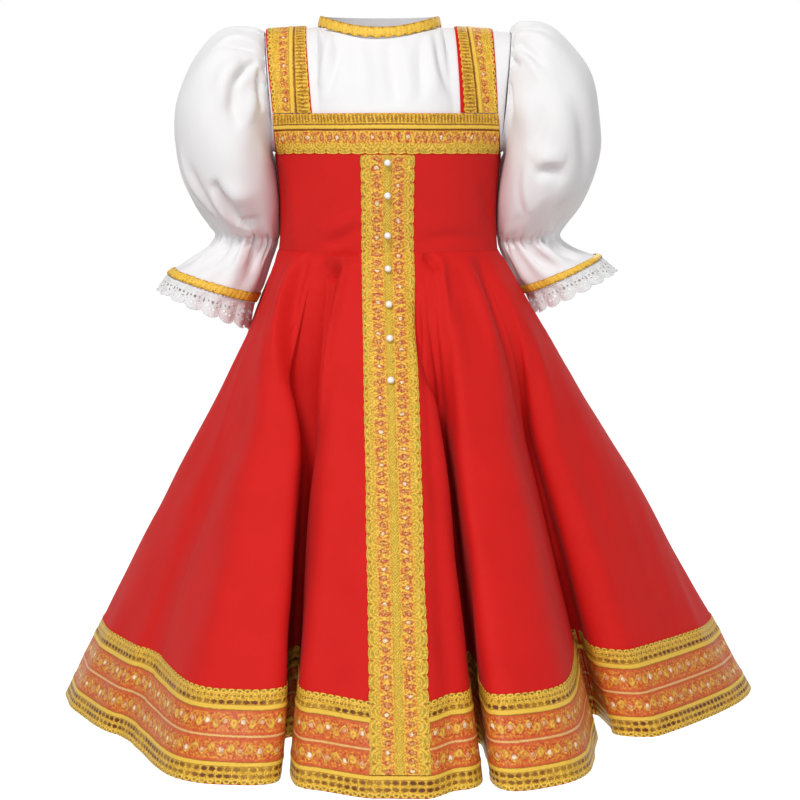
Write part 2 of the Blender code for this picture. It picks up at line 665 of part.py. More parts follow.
def lace_half():
    """Half a cuff's lace, flat: points as (place round the half from 0 to 1, depth from 0 to 1), and its faces."""
    points, faces = [], []
    for edge in range(SCALLOPS + 1):
        points += [(edge, LACE_TOP), (edge, LACE_NOTCH)]
    for scallop in range(SCALLOPS):
        first = len(points)
        points += [(scallop + across, depth) for across, depth in SCALLOP_EDGE] + [(scallop + 0.5, LACE_TOP)]
        for angle in np.radians(EYELET_ANGLES):
            across, down = EYELET_RADIUS[0] * math.cos(angle), EYELET_RADIUS[1] * math.sin(angle)
            points.append((scallop + 0.5 + across, EYELET_CENTER + down))
        left, right = 2 * scallop, 2 * scallop + 2
        ring = (left, first + 3, right, right + 1, first, first + 1, first + 2, left + 1)
        hole = first + len(SCALLOP_EDGE) + 1
        for here in range(len(ring)):
            after = (here + 1) % len(ring)
            faces.append((ring[here], ring[after], hole + after, hole + here))
    return np.array(points) / (SCALLOPS, 1), faces


def make_lace(collection):
    flat, faces = lace_half()
    for side_name, side in (("left", -1), ("right", 1)):
        for half_name, start in (("front", 0.0), ("back", 180.0)):
            turns = start + LACE_SEAM_ANGLE + (180 - 2 * LACE_SEAM_ANGLE) * flat[:, 0]
            rings = CUFF_EDGE_RING + flat[:, 1]
            points, normals = sleeve(side, turns, rings), sleeve_normals(side, turns, rings)
            turned = triangles(points, faces if side > 0 else [face[::-1] for face in faces])
            name = f"cuff_lace_{side_name}_{half_name}"
            wall(name, points, normals, turned, LACE_SKINS, collection, LACE_WHITE)


def build():
    for old in list(bpy.data.objects):
        bpy.data.objects.remove(old, do_unlink=True)
    collection = bpy.data.collections.new(NAME)
    bpy.context.scene.collection.children.link(collection)
    make_blouse(collection)
    make_neck_braid(collection)
    make_straps(collection)
    make_chest_trims(collection)
    center, stations, points, normals = make_skirt(collection)
    make_center_band(collection, center, stations, points, normals)
    make_pearls(collection, center)
    make_sleeves(collection)
    make_lace(collection)


build()
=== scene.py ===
"""The looks of a child's folk sarafan dress and its puff-sleeved blouse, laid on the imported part's surfaces.

Metres, +Z up. The origin is the middle of the shoulder line, the front faces -Y, and left and right are the
viewer's. torso(), skirt() and sleeve() are the surfaces that the part was built on. Here each gets its
creases, and every piece of cloth and trim is a thin wall between two heights above them.
"""

import json
import math
from functools import partial

import bpy
import numpy as np
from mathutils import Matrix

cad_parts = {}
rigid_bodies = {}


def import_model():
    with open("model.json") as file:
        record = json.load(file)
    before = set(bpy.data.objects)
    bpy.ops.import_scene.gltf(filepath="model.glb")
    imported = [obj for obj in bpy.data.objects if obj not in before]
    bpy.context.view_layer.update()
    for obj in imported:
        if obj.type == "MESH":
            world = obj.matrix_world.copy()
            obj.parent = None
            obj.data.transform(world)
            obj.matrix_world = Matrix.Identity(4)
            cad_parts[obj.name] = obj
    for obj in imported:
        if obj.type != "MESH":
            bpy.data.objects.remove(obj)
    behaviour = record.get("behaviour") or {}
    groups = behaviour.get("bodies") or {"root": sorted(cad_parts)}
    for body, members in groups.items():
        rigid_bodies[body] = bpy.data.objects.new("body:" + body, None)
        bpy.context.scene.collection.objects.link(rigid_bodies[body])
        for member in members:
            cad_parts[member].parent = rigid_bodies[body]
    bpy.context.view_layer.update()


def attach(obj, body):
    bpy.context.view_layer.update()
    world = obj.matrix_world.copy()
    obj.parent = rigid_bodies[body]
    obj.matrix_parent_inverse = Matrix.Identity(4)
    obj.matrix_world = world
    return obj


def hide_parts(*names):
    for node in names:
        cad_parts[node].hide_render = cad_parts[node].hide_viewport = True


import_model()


def table(columns, *rows):
    """Rows of numbers, as one array for each named column."""
    return {name: np.array(values, float) for name, values in zip(columns.split(), zip(*rows))}


def rows_of(named):
    """A table's rows, one dict each."""
    count = len(next(iter(named.values())))
    return [{name: column[row] for name, column in named.items()} for row in range(count)]


def floats(*values):
    """The values as arrays of one shape."""
    return np.broadcast_arrays(*(np.asarray(value, float) for value in values))


# Levels, with the shoulders at zero
HEM_Z = -0.7415
WAIST_Z = -0.243
UNDERARM_Z = -0.1385
BODICE_TOP_Z = -0.096
CHEST_BRAID_DEPTH = 0.017

# Inner and outer skin of each layer of cloth, as distances from the blouse's outer face
BLOUSE_SKINS = (-0.0012, 0.0)
RED_SKINS = (0.0003, 0.0015)
TRIM_SKINS = (0.0018, 0.0024)
OVER_TRIM_SKINS = (0.0031, 0.0037)
CUFF_BRAID_SKINS = (0.0007, 0.0013)
LACE_SKINS = (-0.0008, -0.0002)
SEAM_GAP = 0.0003

# The chest, cut across at three levels
TORSO = table(
    "level half_width front back",
    (WAIST_Z, 0.119, 0.088, 0.08),
    (-0.19, 0.118, 0.093, 0.082),
    (UNDERARM_Z, 0.1225, 0.098, 0.085),
)

# Neck and shoulders
NECK_ANGLE = 35.0
NECK_HALF_WIDTH = 0.0675
NECK_FRONT_DEPTH = 0.060
NECK_BACK_DEPTH = 0.050
NECK_Z = -0.003
NECK_FRONT_DROP = 0.0140
NECK_BRAID_WIDTH = 0.0128
NECK_BRAID_LEAN = 0.22
NECK_BRAID_THICKNESS = 0.0012
SHOULDER = table(
    "angle x z shift",
    (NECK_ANGLE, NECK_HALF_WIDTH, NECK_Z, -0.009),
    (38.5, 0.0805, -0.0032, -0.0085),
    (74.5, 0.1225, -0.0058, -0.0095),
    (90, 0.1335, -0.0085, 0),
)
ARMHOLE_REACH = 0.168
CHEST_CLIMB = 0.130
NECK_CLIMB = 0.100
NECK_LEAN = 0.045
ARM_BLEND_ANGLE = 50.0
BAND_EDGE = 13.45
STRAP_INNER = 38.5
STRAP_OUTER = 74.5
STRAP_BRAID_MARGIN = 0.0012

# The hem's folds, one row each, from the middle of the back round by the viewer's left. waist and spread are
# bearings at the waist, x and y are at the hem, facing is the way the fold looks, and a set_back below zero
# opens outwards.
FOLDS = table(
    "waist spread x y facing half_width set_back points",
    (-180, 8, 0, 0.335, 180, 0.055, 0.018, 3),
    (-159, 3, -0.105, 0.225, -158, 0.016, -0.04, 4),
    (-139, 7, -0.195, 0.268, -143, 0.045, 0.016, 3),
    (-121, 3, -0.238, 0.145, -120, 0.016, -0.035, 4),
    (-90, 10, -0.361, -0.005, -91, 0.07, 0.016, 3),
    (-66, 4, -0.272, -0.2, -57, 0.035, -0.004, 4),
    (-52, 4, -0.158, -0.353, -8, 0.048, 0.012, 3),
    (-36, 5, -0.1, -0.19, -2, 0.01, -0.08, 4),
    (-21, 3, -0.083, -0.362, -48, 0.02, 0.008, 3),
    (0, 13.45, 0.014, -0.397, 0, 0.0285, 0.001, 5),
    (15.5, 0.8, 0.082, -0.366, 45, 0.018, 0.007, 3),
    (19, 1.6, 0.09, -0.21, 4, 0.009, -0.06, 4),
    (37, 9, 0.158, -0.36, 28, 0.044, 0.012, 3),
    (57, 4, 0.222, -0.105, 6, 0.009, -0.05, 4),
    (70, 4, 0.275, -0.192, 12, 0.03, 0.016, 3),
    (90, 9, 0.409, 0.018, 95, 0.065, 0.022, 3),
    (121, 3, 0.262, 0.145, 119, 0.016, -0.035, 4),
    (139, 7, 0.205, 0.266, 143, 0.045, 0.016, 3),
    (159, 3, 0.105, 0.225, 158, 0.016, -0.04, 4),
)
FOLD_STEPS = {3: (-1, 0, 1), 4: (-1, -0.55, 0.55, 1), 5: (-1, -0.5, 0, 0.5, 1)}
RIDGE_POWER = 2
VALLEY_POWER = 5
BAND_HALF_COLUMNS = 2

FOLD_START_FALL = 0.42

# The hem as it would hang with no folds, which the skirt follows near the waist: an ellipse's middle and
# half widths
PLAIN_HEM = (0.0255, -0.030, 0.3865, 0.355)
# How the band's bearings are laid on that ellipse: their share of the spread, their turn, and where both
# fade out
BAND_SPREAD = 0.31
BAND_TURN = -1.7
BAND_BLEND = (14.0, 24.0)

# Where the skirt's sides leave their straight lines: they give way to the arms, swell behind them, and bow a
# little
SIDES = table(
    "bearing width fall inward",
    (-91, 11.5, 0.17, 0.016),
    (94, 11.5, 0.17, 0.012),
    (-119, 9, 0.2, -0.014),
    (122, 9, 0.2, -0.014),
    (-88, 25, 0.5, 0.003),
    (88, 25, 0.5, -0.006),
)

# Hem trims, as distances up from the edge
HEM_LINES = (0.0, 0.022, 0.073, 0.095)

# The right sleeve, a row for each ring from the armhole to the lace's edge
SLEEVE = table(
    "outer_x outer_z inner_x inner_z half_depth y gather",
    (0.1275, -0.008, 0.123, -0.1385, 0.042, 0, 0),
    (0.145, -0.0005, 0.1262, -0.1372, 0.056, -0.002, 0.0015),
    (0.179, -0.005, 0.1258, -0.15, 0.068, -0.005, 0.0022),
    (0.209, -0.034, 0.124, -0.163, 0.074, -0.006, 0.0015),
    (0.228, -0.075, 0.1222, -0.178, 0.076, -0.006, 0.0005),
    (0.2325, -0.118, 0.121, -0.194, 0.074, -0.003, 0.0003),
    (0.228, -0.16, 0.1206, -0.208, 0.068, 0.001, 0.001),
    (0.213, -0.193, 0.1206, -0.22, 0.056, 0.004, 0.002),
    (0.198, -0.217, 0.121, -0.231, 0.043, 0.007, 0.0025),
    (0.1915, -0.229, 0.1216, -0.239, 0.034, 0.009, 0.002),
    (0.203, -0.243, 0.1275, -0.256, 0.038, 0.01, 0.003),
    (0.228, -0.26, 0.137, -0.283, 0.044, 0.01, 0.0025),
    (0.245, -0.2716, 0.1475, -0.303, 0.048, 0.01, 0.001),
    (0.257, -0.288, 0.153, -0.332, 0.05, 0.01, 0.0015),
)
# How the sleeve on the viewer's right differs: its cap is fuller and its cuff is held further out
RIGHT_SLEEVE_SHIFT = table(
    "ring outer_x outer_z inner_x inner_z",
    (1, 0, 0.004, 0, 0),
    (2, 0, 0.004, 0, 0),
    (10, -0.001, 0.004, 0, 0.002),
    (11, -0.004, 0.011, 0.002, 0.006),
    (12, -0.008, 0.0186, 0.0045, 0.01),
    (13, -0.003, 0.021, 0.007, 0.017),
)
GATHERS = 10
ELASTIC_RING = 9.0
CUFF_EDGE_RING = 12
LACE_EDGE_RING = 13
CUFF_BRAID_START = 11.45
ARMHOLE_GAP = 0.0006

# Pearls down the centre band
PEARL_RADIUS = 0.00375
PEARL_LEVELS = (-0.1468, -0.1814, -0.2237, -0.2620, -0.2977, -0.3315, -0.3728)


def smooth(x):
    x = np.clip(x, 0, 1)
    return x * x * (3 - 2 * x)


def bell(x):
    return np.exp(-(x**2))


def hermite(start, start_slope, end, end_slope, t):
    return (
        (2 * t**3 - 3 * t**2 + 1) * start
        + (t**3 - 2 * t**2 + t) * start_slope
        + (3 * t**2 - 2 * t**3) * end
        + (t**3 - t**2) * end_slope
    )


def unit(vectors):
    return vectors / np.linalg.norm(vectors, axis=-1, keepdims=True)


def stacked(x, y, z):
    return np.stack(floats(x, y, z), axis=-1)


def torso_size(column, level, slope=False):
    """A width or depth of the chest at a level, on the smooth curve through the table's rows."""
    curve = np.polyfit(TORSO["level"], TORSO[column], len(TORSO["level"]) - 1)
    return np.polyval(np.polyder(curve) if slope else curve, level)


def crown(angle, back):
    """The neckline, and past its corner the top of the shoulder."""
    toward = 1 if back else -1
    depth = NECK_BACK_DEPTH if back else NECK_FRONT_DEPTH
    drop = 0.0 if back else NECK_FRONT_DROP
    size = np.abs(angle)
    turn = np.radians(90 * np.clip(size / NECK_ANGLE, 0, 1))
    on_neck = size <= NECK_ANGLE
    past_x, past_z, shift = (np.interp(size, SHOULDER["angle"], SHOULDER[way]) for way in ("x", "z", "shift"))
    x = np.where(on_neck, NECK_HALF_WIDTH * np.sin(turn), past_x)
    z = np.where(on_neck, NECK_Z - drop * np.cos(turn) ** 2, past_z)
    return stacked(np.sign(angle) * x + shift, toward * depth * np.cos(turn), z)


def torso(angle, rise, back=False):
    """The blouse's outer face. angle runs from -90 to 90 degrees across the front or back, and rise is 0 at
    the waist, 1 at the underarm and 2 at the neckline and shoulders."""
    angle, rise = floats(angle, rise)
    toward = 1 if back else -1
    face = "back" if back else "front"
    across, along = np.sin(np.radians(angle)), toward * np.cos(np.radians(angle))
    level = WAIST_Z + (UNDERARM_Z - WAIST_Z) * np.clip(rise, 0, 1)
    lower = stacked(torso_size("half_width", level) * across, torso_size(face, level) * along, level)
    widening = torso_size("half_width", UNDERARM_Z, slope=True) * across
    deepening = torso_size(face, UNDERARM_Z, slope=True) * along
    to_arm = smooth((np.abs(angle) - ARM_BLEND_ANGLE) / (90 - ARM_BLEND_ANGLE))[..., None]
    to_shoulder = smooth(np.abs(angle) / NECK_ANGLE)[..., None]
    climb = CHEST_CLIMB * stacked(widening, deepening, 1.0)
    out = np.array((0.0, toward * ARMHOLE_REACH, 0.0))
    into_neck = np.array((0.0, -toward * NECK_LEAN, NECK_CLIMB))
    start_slope = (1 - to_arm) * climb + to_arm * out
    end_slope = (1 - to_shoulder) * into_neck - to_shoulder * out
    upper = hermite(lower, start_slope, crown(angle, back), end_slope, np.clip(rise - 1, 0, 1)[..., None])
    return np.where(rise[..., None] <= 1, lower, upper)


NORMAL_STEP = 1e-3


def torso_normals(angle, rise, back=False):
    angle, rise = floats(angle, rise)
    high = np.where(rise <= 1, np.minimum(rise + NORMAL_STEP, 1), np.minimum(rise + NORMAL_STEP, 2))
    low = np.where(rise <= 1, np.maximum(rise - NORMAL_STEP, 0), rise - NORMAL_STEP)
    right, left = np.minimum(angle + NORMAL_STEP, 90), np.maximum(angle - NORMAL_STEP, -90)
    across = torso(right, rise, back) - torso(left, rise, back)
    upward = torso(angle, high, back) - torso(angle, low, back)
    return unit(np.cross(across, upward)) * (-1 if back else 1)


def rise_at(angle, level, back):
    """Where each column of the torso above the underarm passes a level."""
    rises = np.linspace(1, 2, 201)
    return np.array([np.interp(level, torso(a, rises, back)[:, 2], rises) for a in np.ravel(angle)])


def fold_points():
    """x, y and waist bearing of every control point of the hem."""
    points = []
    for fold in rows_of(FOLDS):
        facing = math.radians(fold["facing"])
        power = RIDGE_POWER if fold["set_back"] > 0 else VALLEY_POWER
        for step in FOLD_STEPS[int(fold["points"])]:
            along = fold["half_width"] * step
            back = fold["set_back"] * abs(step) ** power
            x = fold["x"] + along * math.cos(facing) - back * math.sin(facing)
            y = fold["y"] + along * math.sin(facing) + back * math.cos(facing)
            points.append((x, y, fold["waist"] + fold["spread"] * step))
    return np.array(points)


def closed_spline(points, period, station):
    """A smooth closed curve through points, at stations counted in them. Its third column never turns back."""
    count = len(points)
    wrapped = np.vstack([points[-2:] - period, points, points[:3] + period])
    gaps = np.linalg.norm(np.diff(wrapped[:, :2], axis=0), axis=1)[:, None] ** 0.5
    slopes = np.diff(wrapped, axis=0) / gaps
    tangents = (slopes[:-1] * gaps[1:] + slopes[1:] * gaps[:-1]) / (gaps[1:] + gaps[:-1])
    before, after = 2 * gaps[1:, 0] + gaps[:-1, 0], gaps[1:, 0] + 2 * gaps[:-1, 0]
    tangents[:, 2] = (before + after) / (before / slopes[:-1, 2] + after / slopes[1:, 2])
    station = np.asarray(station, float) % count
    index = np.floor(station).astype(int)
    gap = gaps[index + 2]
    return hermite(
        wrapped[index + 2],
        tangents[index + 1] * gap,
        wrapped[index + 3],
        tangents[index + 2] * gap,
        (station - index)[..., None],
    )


HEM_POINTS = fold_points()


def skirt_ends(station):
    """Waist point, hem point and waist bearing of one straight line down the skirt."""
    x, y, bearing = np.moveaxis(closed_spline(HEM_POINTS, np.array((0, 0, 360.0)), station), -1, 0)
    bearing = (bearing + 180) % 360 - 180
    behind = np.abs(bearing) > 90
    angle = np.where(behind, np.sign(bearing) * (180 - np.abs(bearing)), bearing)
    waist = np.where(behind[..., None], torso(angle, 0.0, back=True), torso(angle, 0.0))
    return waist, stacked(x, y, HEM_Z), bearing


def plain_bearing(bearing):
    """Where a waist bearing meets the plain hem. The band keeps its width, so its bearings spread less."""
    low, high = BAND_BLEND
    across = smooth((high - np.abs(bearing)) / (high - low))
    return bearing + across * (BAND_TURN - (1 - BAND_SPREAD) * bearing)


def skirt(station, fall):
    """The skirt's face, whose folds start below the waist. fall is 0 at the waist, 1 at the hem."""
    station, fall = floats(station, fall)
    waist, hem, bearing = skirt_ends(station)
    turn = np.radians(bearing)
    plain_turn = np.radians(plain_bearing(bearing))
    middle_x, middle_y, half_width, half_depth = PLAIN_HEM
    plain_x, plain_y = middle_x + half_width * np.sin(plain_turn), middle_y - half_depth * np.cos(plain_turn)
    plain = stacked(plain_x, plain_y, HEM_Z)
    hem = plain + (hem - plain) * smooth(fall / FOLD_START_FALL)[..., None]
    inward = 0.0
    for side in rows_of(SIDES):
        across = bell((bearing - side["bearing"]) / side["width"])
        down = fall / side["fall"]
        along = (down * np.exp(1 - down)) ** 2 * (1 - fall) / (1 - side["fall"])
        inward = inward + side["inward"] * across * along
    inward = inward[..., None] * stacked(-np.sin(turn), np.cos(turn), 0.0)
    return waist + (hem - waist) * fall[..., None] + inward


LEVEL_WAIST_FALL = 0.02


def skirt_normals(station, fall):
    """Outward normals, turned level at the waist so that the skirt meets the bodice."""
    step = 2 * NORMAL_STEP
    high, low = np.maximum(fall - step, 0), np.minimum(fall + step, 1)
    across = skirt(station + step, fall) - skirt(station - step, fall)
    normals = unit(np.cross(across, skirt(station, high) - skirt(station, low)))
    normals[..., 2] *= smooth(fall / LEVEL_WAIST_FALL)
    return unit(normals)


def sleeve_ring(side, ring):
    """The sleeve table's columns at a place between rings, on a smooth curve."""
    rows = np.stack([SLEEVE[name] for name in SLEEVE], axis=-1)
    if side > 0:
        for index, shift in enumerate(RIGHT_SLEEVE_SHIFT["ring"].astype(int)):
            rows[shift, :4] += [RIGHT_SLEEVE_SHIFT[name][index] for name in list(SLEEVE)[:4]]
    rows = np.vstack([2 * rows[0] - rows[1], rows, 2 * rows[-1] - rows[-2]])
    index = np.minimum(np.floor(ring).astype(int), len(rows) - 4)
    slopes = [(rows[index + 2 + k] - rows[index + k]) / 2 for k in (0, 1)]
    values = hermite(rows[index + 1], slopes[0], rows[index + 2], slopes[1], (ring - index)[..., None])
    return dict(zip(SLEEVE, np.moveaxis(values, -1, 0)))


def armhole(turn):
    """The edge that the blouse leaves for the right sleeve. turn is 0 on top and 90 at the front."""
    height = (1 + np.cos(np.radians(turn))) / 2
    rise = 1.5 - np.sin(np.arcsin(1 - 2 * height) / 3)
    at_back = (np.sin(np.radians(turn)) < 0)[..., None]
    edge = np.where(at_back, torso(90.0, rise, back=True), torso(90.0, rise))
    return edge + np.array((ARMHOLE_GAP, 0, 0))


def sleeve(side, turn, ring):
    """A sleeve's outer face. side is 1 at the viewer's right, turn is 0 on its outer side and 90 at the
    front, and ring counts the rows of the sleeve's table."""
    turn, ring = floats(turn, ring)
    row = sleeve_ring(side, ring)
    cosine, sine = np.cos(np.radians(turn)), np.sin(np.radians(turn))
    from_center = stacked(
        (row["outer_x"] - row["inner_x"]) / 2 * cosine,
        -row["half_depth"] * sine,
        (row["outer_z"] - row["inner_z"]) / 2 * cosine,
    )
    center = stacked((row["outer_x"] + row["inner_x"]) / 2, row["y"], (row["outer_z"] + row["inner_z"]) / 2)
    drawn_in = row["gather"] * (1 - np.cos(np.radians(GATHERS * turn))) / 2
    points = center + from_center - unit(from_center) * drawn_in[..., None]
    seated = smooth(ring)[..., None]
    points = armhole(turn) * (1 - seated) + points * seated
    return points * np.array((side, 1, 1))


def sleeve_normals(side, turn, ring):
    turn, ring = floats(turn, ring)
    around = sleeve(side, turn + 0.1, ring) - sleeve(side, turn - 0.1, ring)
    low, high = np.maximum(ring - NORMAL_STEP, 0), np.minimum(ring + NORMAL_STEP, LACE_EDGE_RING)
    along = sleeve(side, turn, high) - sleeve(side, turn, low)
    return unit(np.cross(around, along)) * side


# Creases, each a soft trough or ridge along a bent line: its start, bend and end on the surface, then its
# half width and its height, which is below zero for a trough
SLEEVE_CREASES = {
    -1: table(
        "turn1 ring1 turn2 ring2 turn3 ring3 width height",
        (33, 2.25, 45, 1.7, 58, 0.55, 0.0045, -0.004),
        (28, 2.1, 38, 1.45, 50, 0.6, 0.005, 0.0022),
        (8, 1.7, 20, 1.1, 33, 0.45, 0.0035, -0.0022),
        (64, 0.9, 73, 1.75, 80, 2.3, 0.0045, -0.006),
        (79, 2.1, 86, 2.6, 104, 2.9, 0.006, -0.004),
        (62, 1.6, 66, 2.4, 84, 3, 0.009, 0.0035),
        (70, 0.8, 88, 0.95, 112, 1.2, 0.005, -0.005),
        (92, 1.3, 100, 1.7, 112, 2.2, 0.008, 0.0025),
        (8, 5.2, 26, 6.4, 48, 7.6, 0.005, -0.0035),
        (30, 5.2, 44, 6.2, 54, 7.6, 0.005, 0.0025),
        (50, 5.5, 56, 6.5, 60, 7.8, 0.005, -0.0035),
        (78, 5.6, 88, 6.4, 95, 7.5, 0.0065, -0.0085),
        (95, 7.4, 120, 6.9, 150, 6, 0.0065, -0.008),
        (82, 5.7, 110, 5.6, 140, 5.2, 0.011, 0.004),
        (74, 6, 78, 6.8, 86, 7.7, 0.006, 0.003),
        (124, 6.9, 136, 7.5, 148, 8.5, 0.0045, -0.007),
        (100, 8.4, 112, 9.2, 124, 10.6, 0.0055, -0.006),
        (86, 8.8, 95, 9.8, 103, 11.1, 0.0055, 0.0045),
        (30, 9.4, 38, 10.2, 44, 11.2, 0.006, 0.0035),
        (58, 9.2, 66, 10, 70, 11, 0.007, -0.0038),
        (8, 9.6, 14, 10.3, 18, 11.1, 0.006, -0.003),
    ),
    1: table(
        "turn1 ring1 turn2 ring2 turn3 ring3 width height",
        (38, 0.1, 26, 0.7, 32, 2.1, 0.0045, -0.0042),
        (44, 0.5, 38, 1.1, 44, 2.2, 0.006, 0.0025),
        (4, 0.5, 12, 0.9, 22, 1.6, 0.0035, -0.0024),
        (44, 0.7, 57, 1.4, 67, 2.2, 0.0055, -0.004),
        (54, 0.8, 66, 1.5, 78, 2.2, 0.006, 0.002),
        (58, 0.25, 64, 0.6, 74, 1.1, 0.004, -0.0045),
        (80, 0.35, 104, 0.75, 138, 1.3, 0.005, -0.005),
        (88, 2.6, 102, 3.1, 118, 3.3, 0.008, -0.0025),
        (112, 4.7, 96, 4.9, 78, 5.6, 0.006, -0.0055),
        (112, 4.2, 96, 4.4, 76, 5, 0.01, 0.0035),
        (130, 3.6, 133, 5, 120, 6.5, 0.005, -0.0045),
        (122, 3.6, 124, 5, 112, 6.6, 0.0055, 0.0025),
        (172, 7.6, 150, 7, 126, 6.3, 0.0045, -0.006),
        (60, 3.4, 52, 5, 44, 6.9, 0.011, -0.003),
        (70, 6.4, 66, 7.2, 62, 8, 0.006, -0.003),
        (110, 9.2, 100, 10.2, 96, 11.1, 0.006, -0.0045),
        (84, 9, 78, 10.1, 74, 11.1, 0.007, 0.0035),
        (60, 9.3, 54, 10.2, 50, 11.1, 0.0055, -0.0035),
        (30, 9.5, 26, 10.2, 24, 11, 0.006, -0.003),
    ),
}
CHEST_BULGES = {-1: 0.0013, 1: 0.0009}
BACK_BULGE = 0.0046
BACK_BULGE_TURN = 203.0
BACK_BULGE_WIDTH = 13.0
# Where a sleeve lies along the chest, as the rings where its swelling starts and ends, and over how many
# rings it does
CHEST_RINGS = (1.6, 8.6)
CHEST_RING_FADES = (0.8, 1.2)
# And where it does so round its turn, by the cosine
CHEST_COSINE = -0.2
CHEST_COSINE_FADE = 0.6
HEAD_FADE = 0.4
CUFF_FADE = 1.2
CUFF_GATHER_END = 11.53
CUFF_GATHER_FADE = 0.8
SLEEVE_CREASE_DEPTH = 1.35
# A sleeve's fine gathers, at its head and at the elastic: how many go round, how deep, and how many rings
# they run
GATHER_ROWS = table(
    "ring count depth up down",
    (0, 26, 0.0026, 0.8, 0.9),
    (ELASTIC_RING, 23, 0.004, 0.85, 0.6),
)
GATHER_WANDER = 2.2
GATHER_LIMITS = (0.2, 1.7)
GATHER_CONTRAST = 1.5
INNER_GATHERS = 0.15

YOKE_CREASES = table(
    "angle1 rise1 angle2 rise2 angle3 rise3 width height",
    (-14, 1.97, -20, 1.6, -30, 1.36, 0.006, -0.0028),
    (-20, 1.95, -26, 1.62, -35, 1.42, 0.006, 0.0022),
    (-6, 1.97, -6, 1.65, -8, 1.36, 0.007, 0.0016),
    (3, 1.97, 4.5, 1.62, 4.5, 1.36, 0.008, -0.003),
    (10, 1.97, 10, 1.65, 11, 1.36, 0.006, 0.0018),
    (16, 1.95, 16, 1.62, 17, 1.36, 0.0055, -0.0022),
    (23, 1.95, 28, 1.6, 34, 1.36, 0.0055, -0.0026),
    (20, 1.95, 22, 1.62, 26, 1.4, 0.0055, 0.002),
)
YOKE_CREASE_DEPTH = 1.5
BODICE_CREASE_DEPTH = 2.2
NECK_GATHERS = 40
NECK_GATHER_DEPTH = 0.0011
NECK_GATHER_START = 1.70
# Over what angle and rise the yoke's folds fade out at its edges, and over what rises the bodice's do
YOKE_FADES = (5.0, 0.12)
BODICE_FADES = (0.1, 0.2)
STREAK_FADE = 0.3
SKIRT_CREASE_FADE = 0.005

BODICE_CREASES = table(
    "angle1 rise1 angle2 rise2 angle3 rise3 width height",
    (-14, 0.3, -24, 0.14, -36, 0.08, 0.006, -0.0012),
    (-14, 0.42, -26, 0.28, -44, 0.2, 0.008, 0.0012),
    (-60, 0.05, -58, 0.45, -60, 0.9, 0.01, 0.0012),
    (-76, 0.1, -72, 0.5, -76, 0.9, 0.006, -0.0014),
    (16, 0.1, 34, 0.16, 60, 0.1, 0.007, -0.0012),
    (56, 0.7, 66, 0.45, 70, 0.2, 0.009, -0.0014),
)

# The skirt's creases start where a bearing meets the waist
SKIRT_CREASES = table(
    "bearing1 fall1 bearing2 fall2 bearing3 fall3 width height",
    (-48.7, 0.004, -51.4, 0.1, -50, 0.28, 0.0065, 0.0064),
    (-44.5, 0.01, -46.5, 0.1, -45.5, 0.3, 0.006, -0.0056),
    (-52, 0.002, -54, 0.14, -53, 0.38, 0.015, 0.005),
    (-34.5, 0.002, -36, 0.19, -38.5, 0.44, 0.019, -0.017),
    (-25.6, 0.02, -27.4, 0.13, -30.5, 0.36, 0.006, -0.008),
    (-21.7, 0.01, -23.3, 0.13, -27, 0.36, 0.005, 0.0075),
    (-33, 0.014, -25, 0.018, -15.2, 0.006, 0.006, 0.0085),
    (-31.5, 0.044, -27, 0.043, -22, 0.036, 0.0056, -0.0062),
    (18, 0.006, 21.5, 0.02, 24.5, 0.04, 0.005, -0.007),
    (27.5, 0.004, 24.8, 0.07, 23, 0.18, 0.0048, 0.006),
    (28, 0.08, 26, 0.2, 29.5, 0.38, 0.008, 0.0045),
    (13.8, 0.06, 15.6, 0.2, 18.6, 0.38, 0.0075, -0.011),
    (41.4, 0.008, 42, 0.12, 43.4, 0.28, 0.008, 0.006),
    (53, 0.004, 51.2, 0.14, 51.2, 0.38, 0.011, -0.01),
    (60, 0.05, 66, 0.2, 73, 0.38, 0.012, 0.003),
    (-70, 0.02, -72, 0.13, -76, 0.34, 0.011, -0.003),
    (-84, 0.03, -86, 0.16, -88, 0.36, 0.01, 0.0026),
    (84, 0.01, 82, 0.1, 84, 0.3, 0.008, 0.003),
    (102, 0.02, 104, 0.14, 108, 0.32, 0.01, -0.0045),
    (116, 0.01, 119, 0.1, 123, 0.26, 0.0065, 0.004),
    (133, 0.03, 131, 0.15, 128, 0.36, 0.012, -0.006),
    (150, 0.006, 147, 0.09, 146, 0.24, 0.006, 0.0042),
    (166, 0.02, 164, 0.15, 161, 0.33, 0.011, -0.0055),
    (-172, 0.006, -170, 0.08, -171, 0.22, 0.006, 0.0038),
    (-158, 0.025, -156, 0.15, -159, 0.34, 0.012, -0.0062),
    (-143, 0.008, -141, 0.1, -143, 0.27, 0.0065, 0.004),
    (-125, 0.02, -124, 0.14, -121, 0.36, 0.011, -0.005),
    (-109, 0.015, -107, 0.09, -107, 0.22, 0.007, 0.0032),
)

# What the trims are made of, one row of strips each, from its lower or outer edge: the strip's kind and its
# width in mm
TRIMS = {
    "hem_braid_lower": (("picots", 5.6), ("slots", 4.2), ("weave", 2.4), ("slots", 4.6), ("cord", 5.2)),
    "hem_ribbon": (("motif", 23.2), ("line", 4.0), ("motif", 23.8)),
    "hem_braid_upper": (("cord", 6.2), ("slots", 4.4), ("weave", 2.2), ("loops", 3.8), ("picots", 5.4)),
    "chest_band": (("scallops", 11.0), ("brocade", 13.0), ("groove", 1.0)),
    "chest_braid": (("cord", 5.0), ("groove", 0.8), ("bars", 11.2)),
    "center_band": (
        ("scallops", 10.0),
        ("brocade", 14.0),
        ("rib", 9.0),
        ("brocade", 14.0),
        ("scallops", 10.0),
    ),
    "strap_braid": (
        ("picots", 5.0),
        ("weave", 6.0),
        ("brocade", 9.0),
        ("cord", 4.5),
        ("groove", 1.2),
        ("bars", 9.8),
    ),
    "neck_braid": (("bumps", 12.8),),
    "cuff_braid": (("bumps", 9.5),),
}
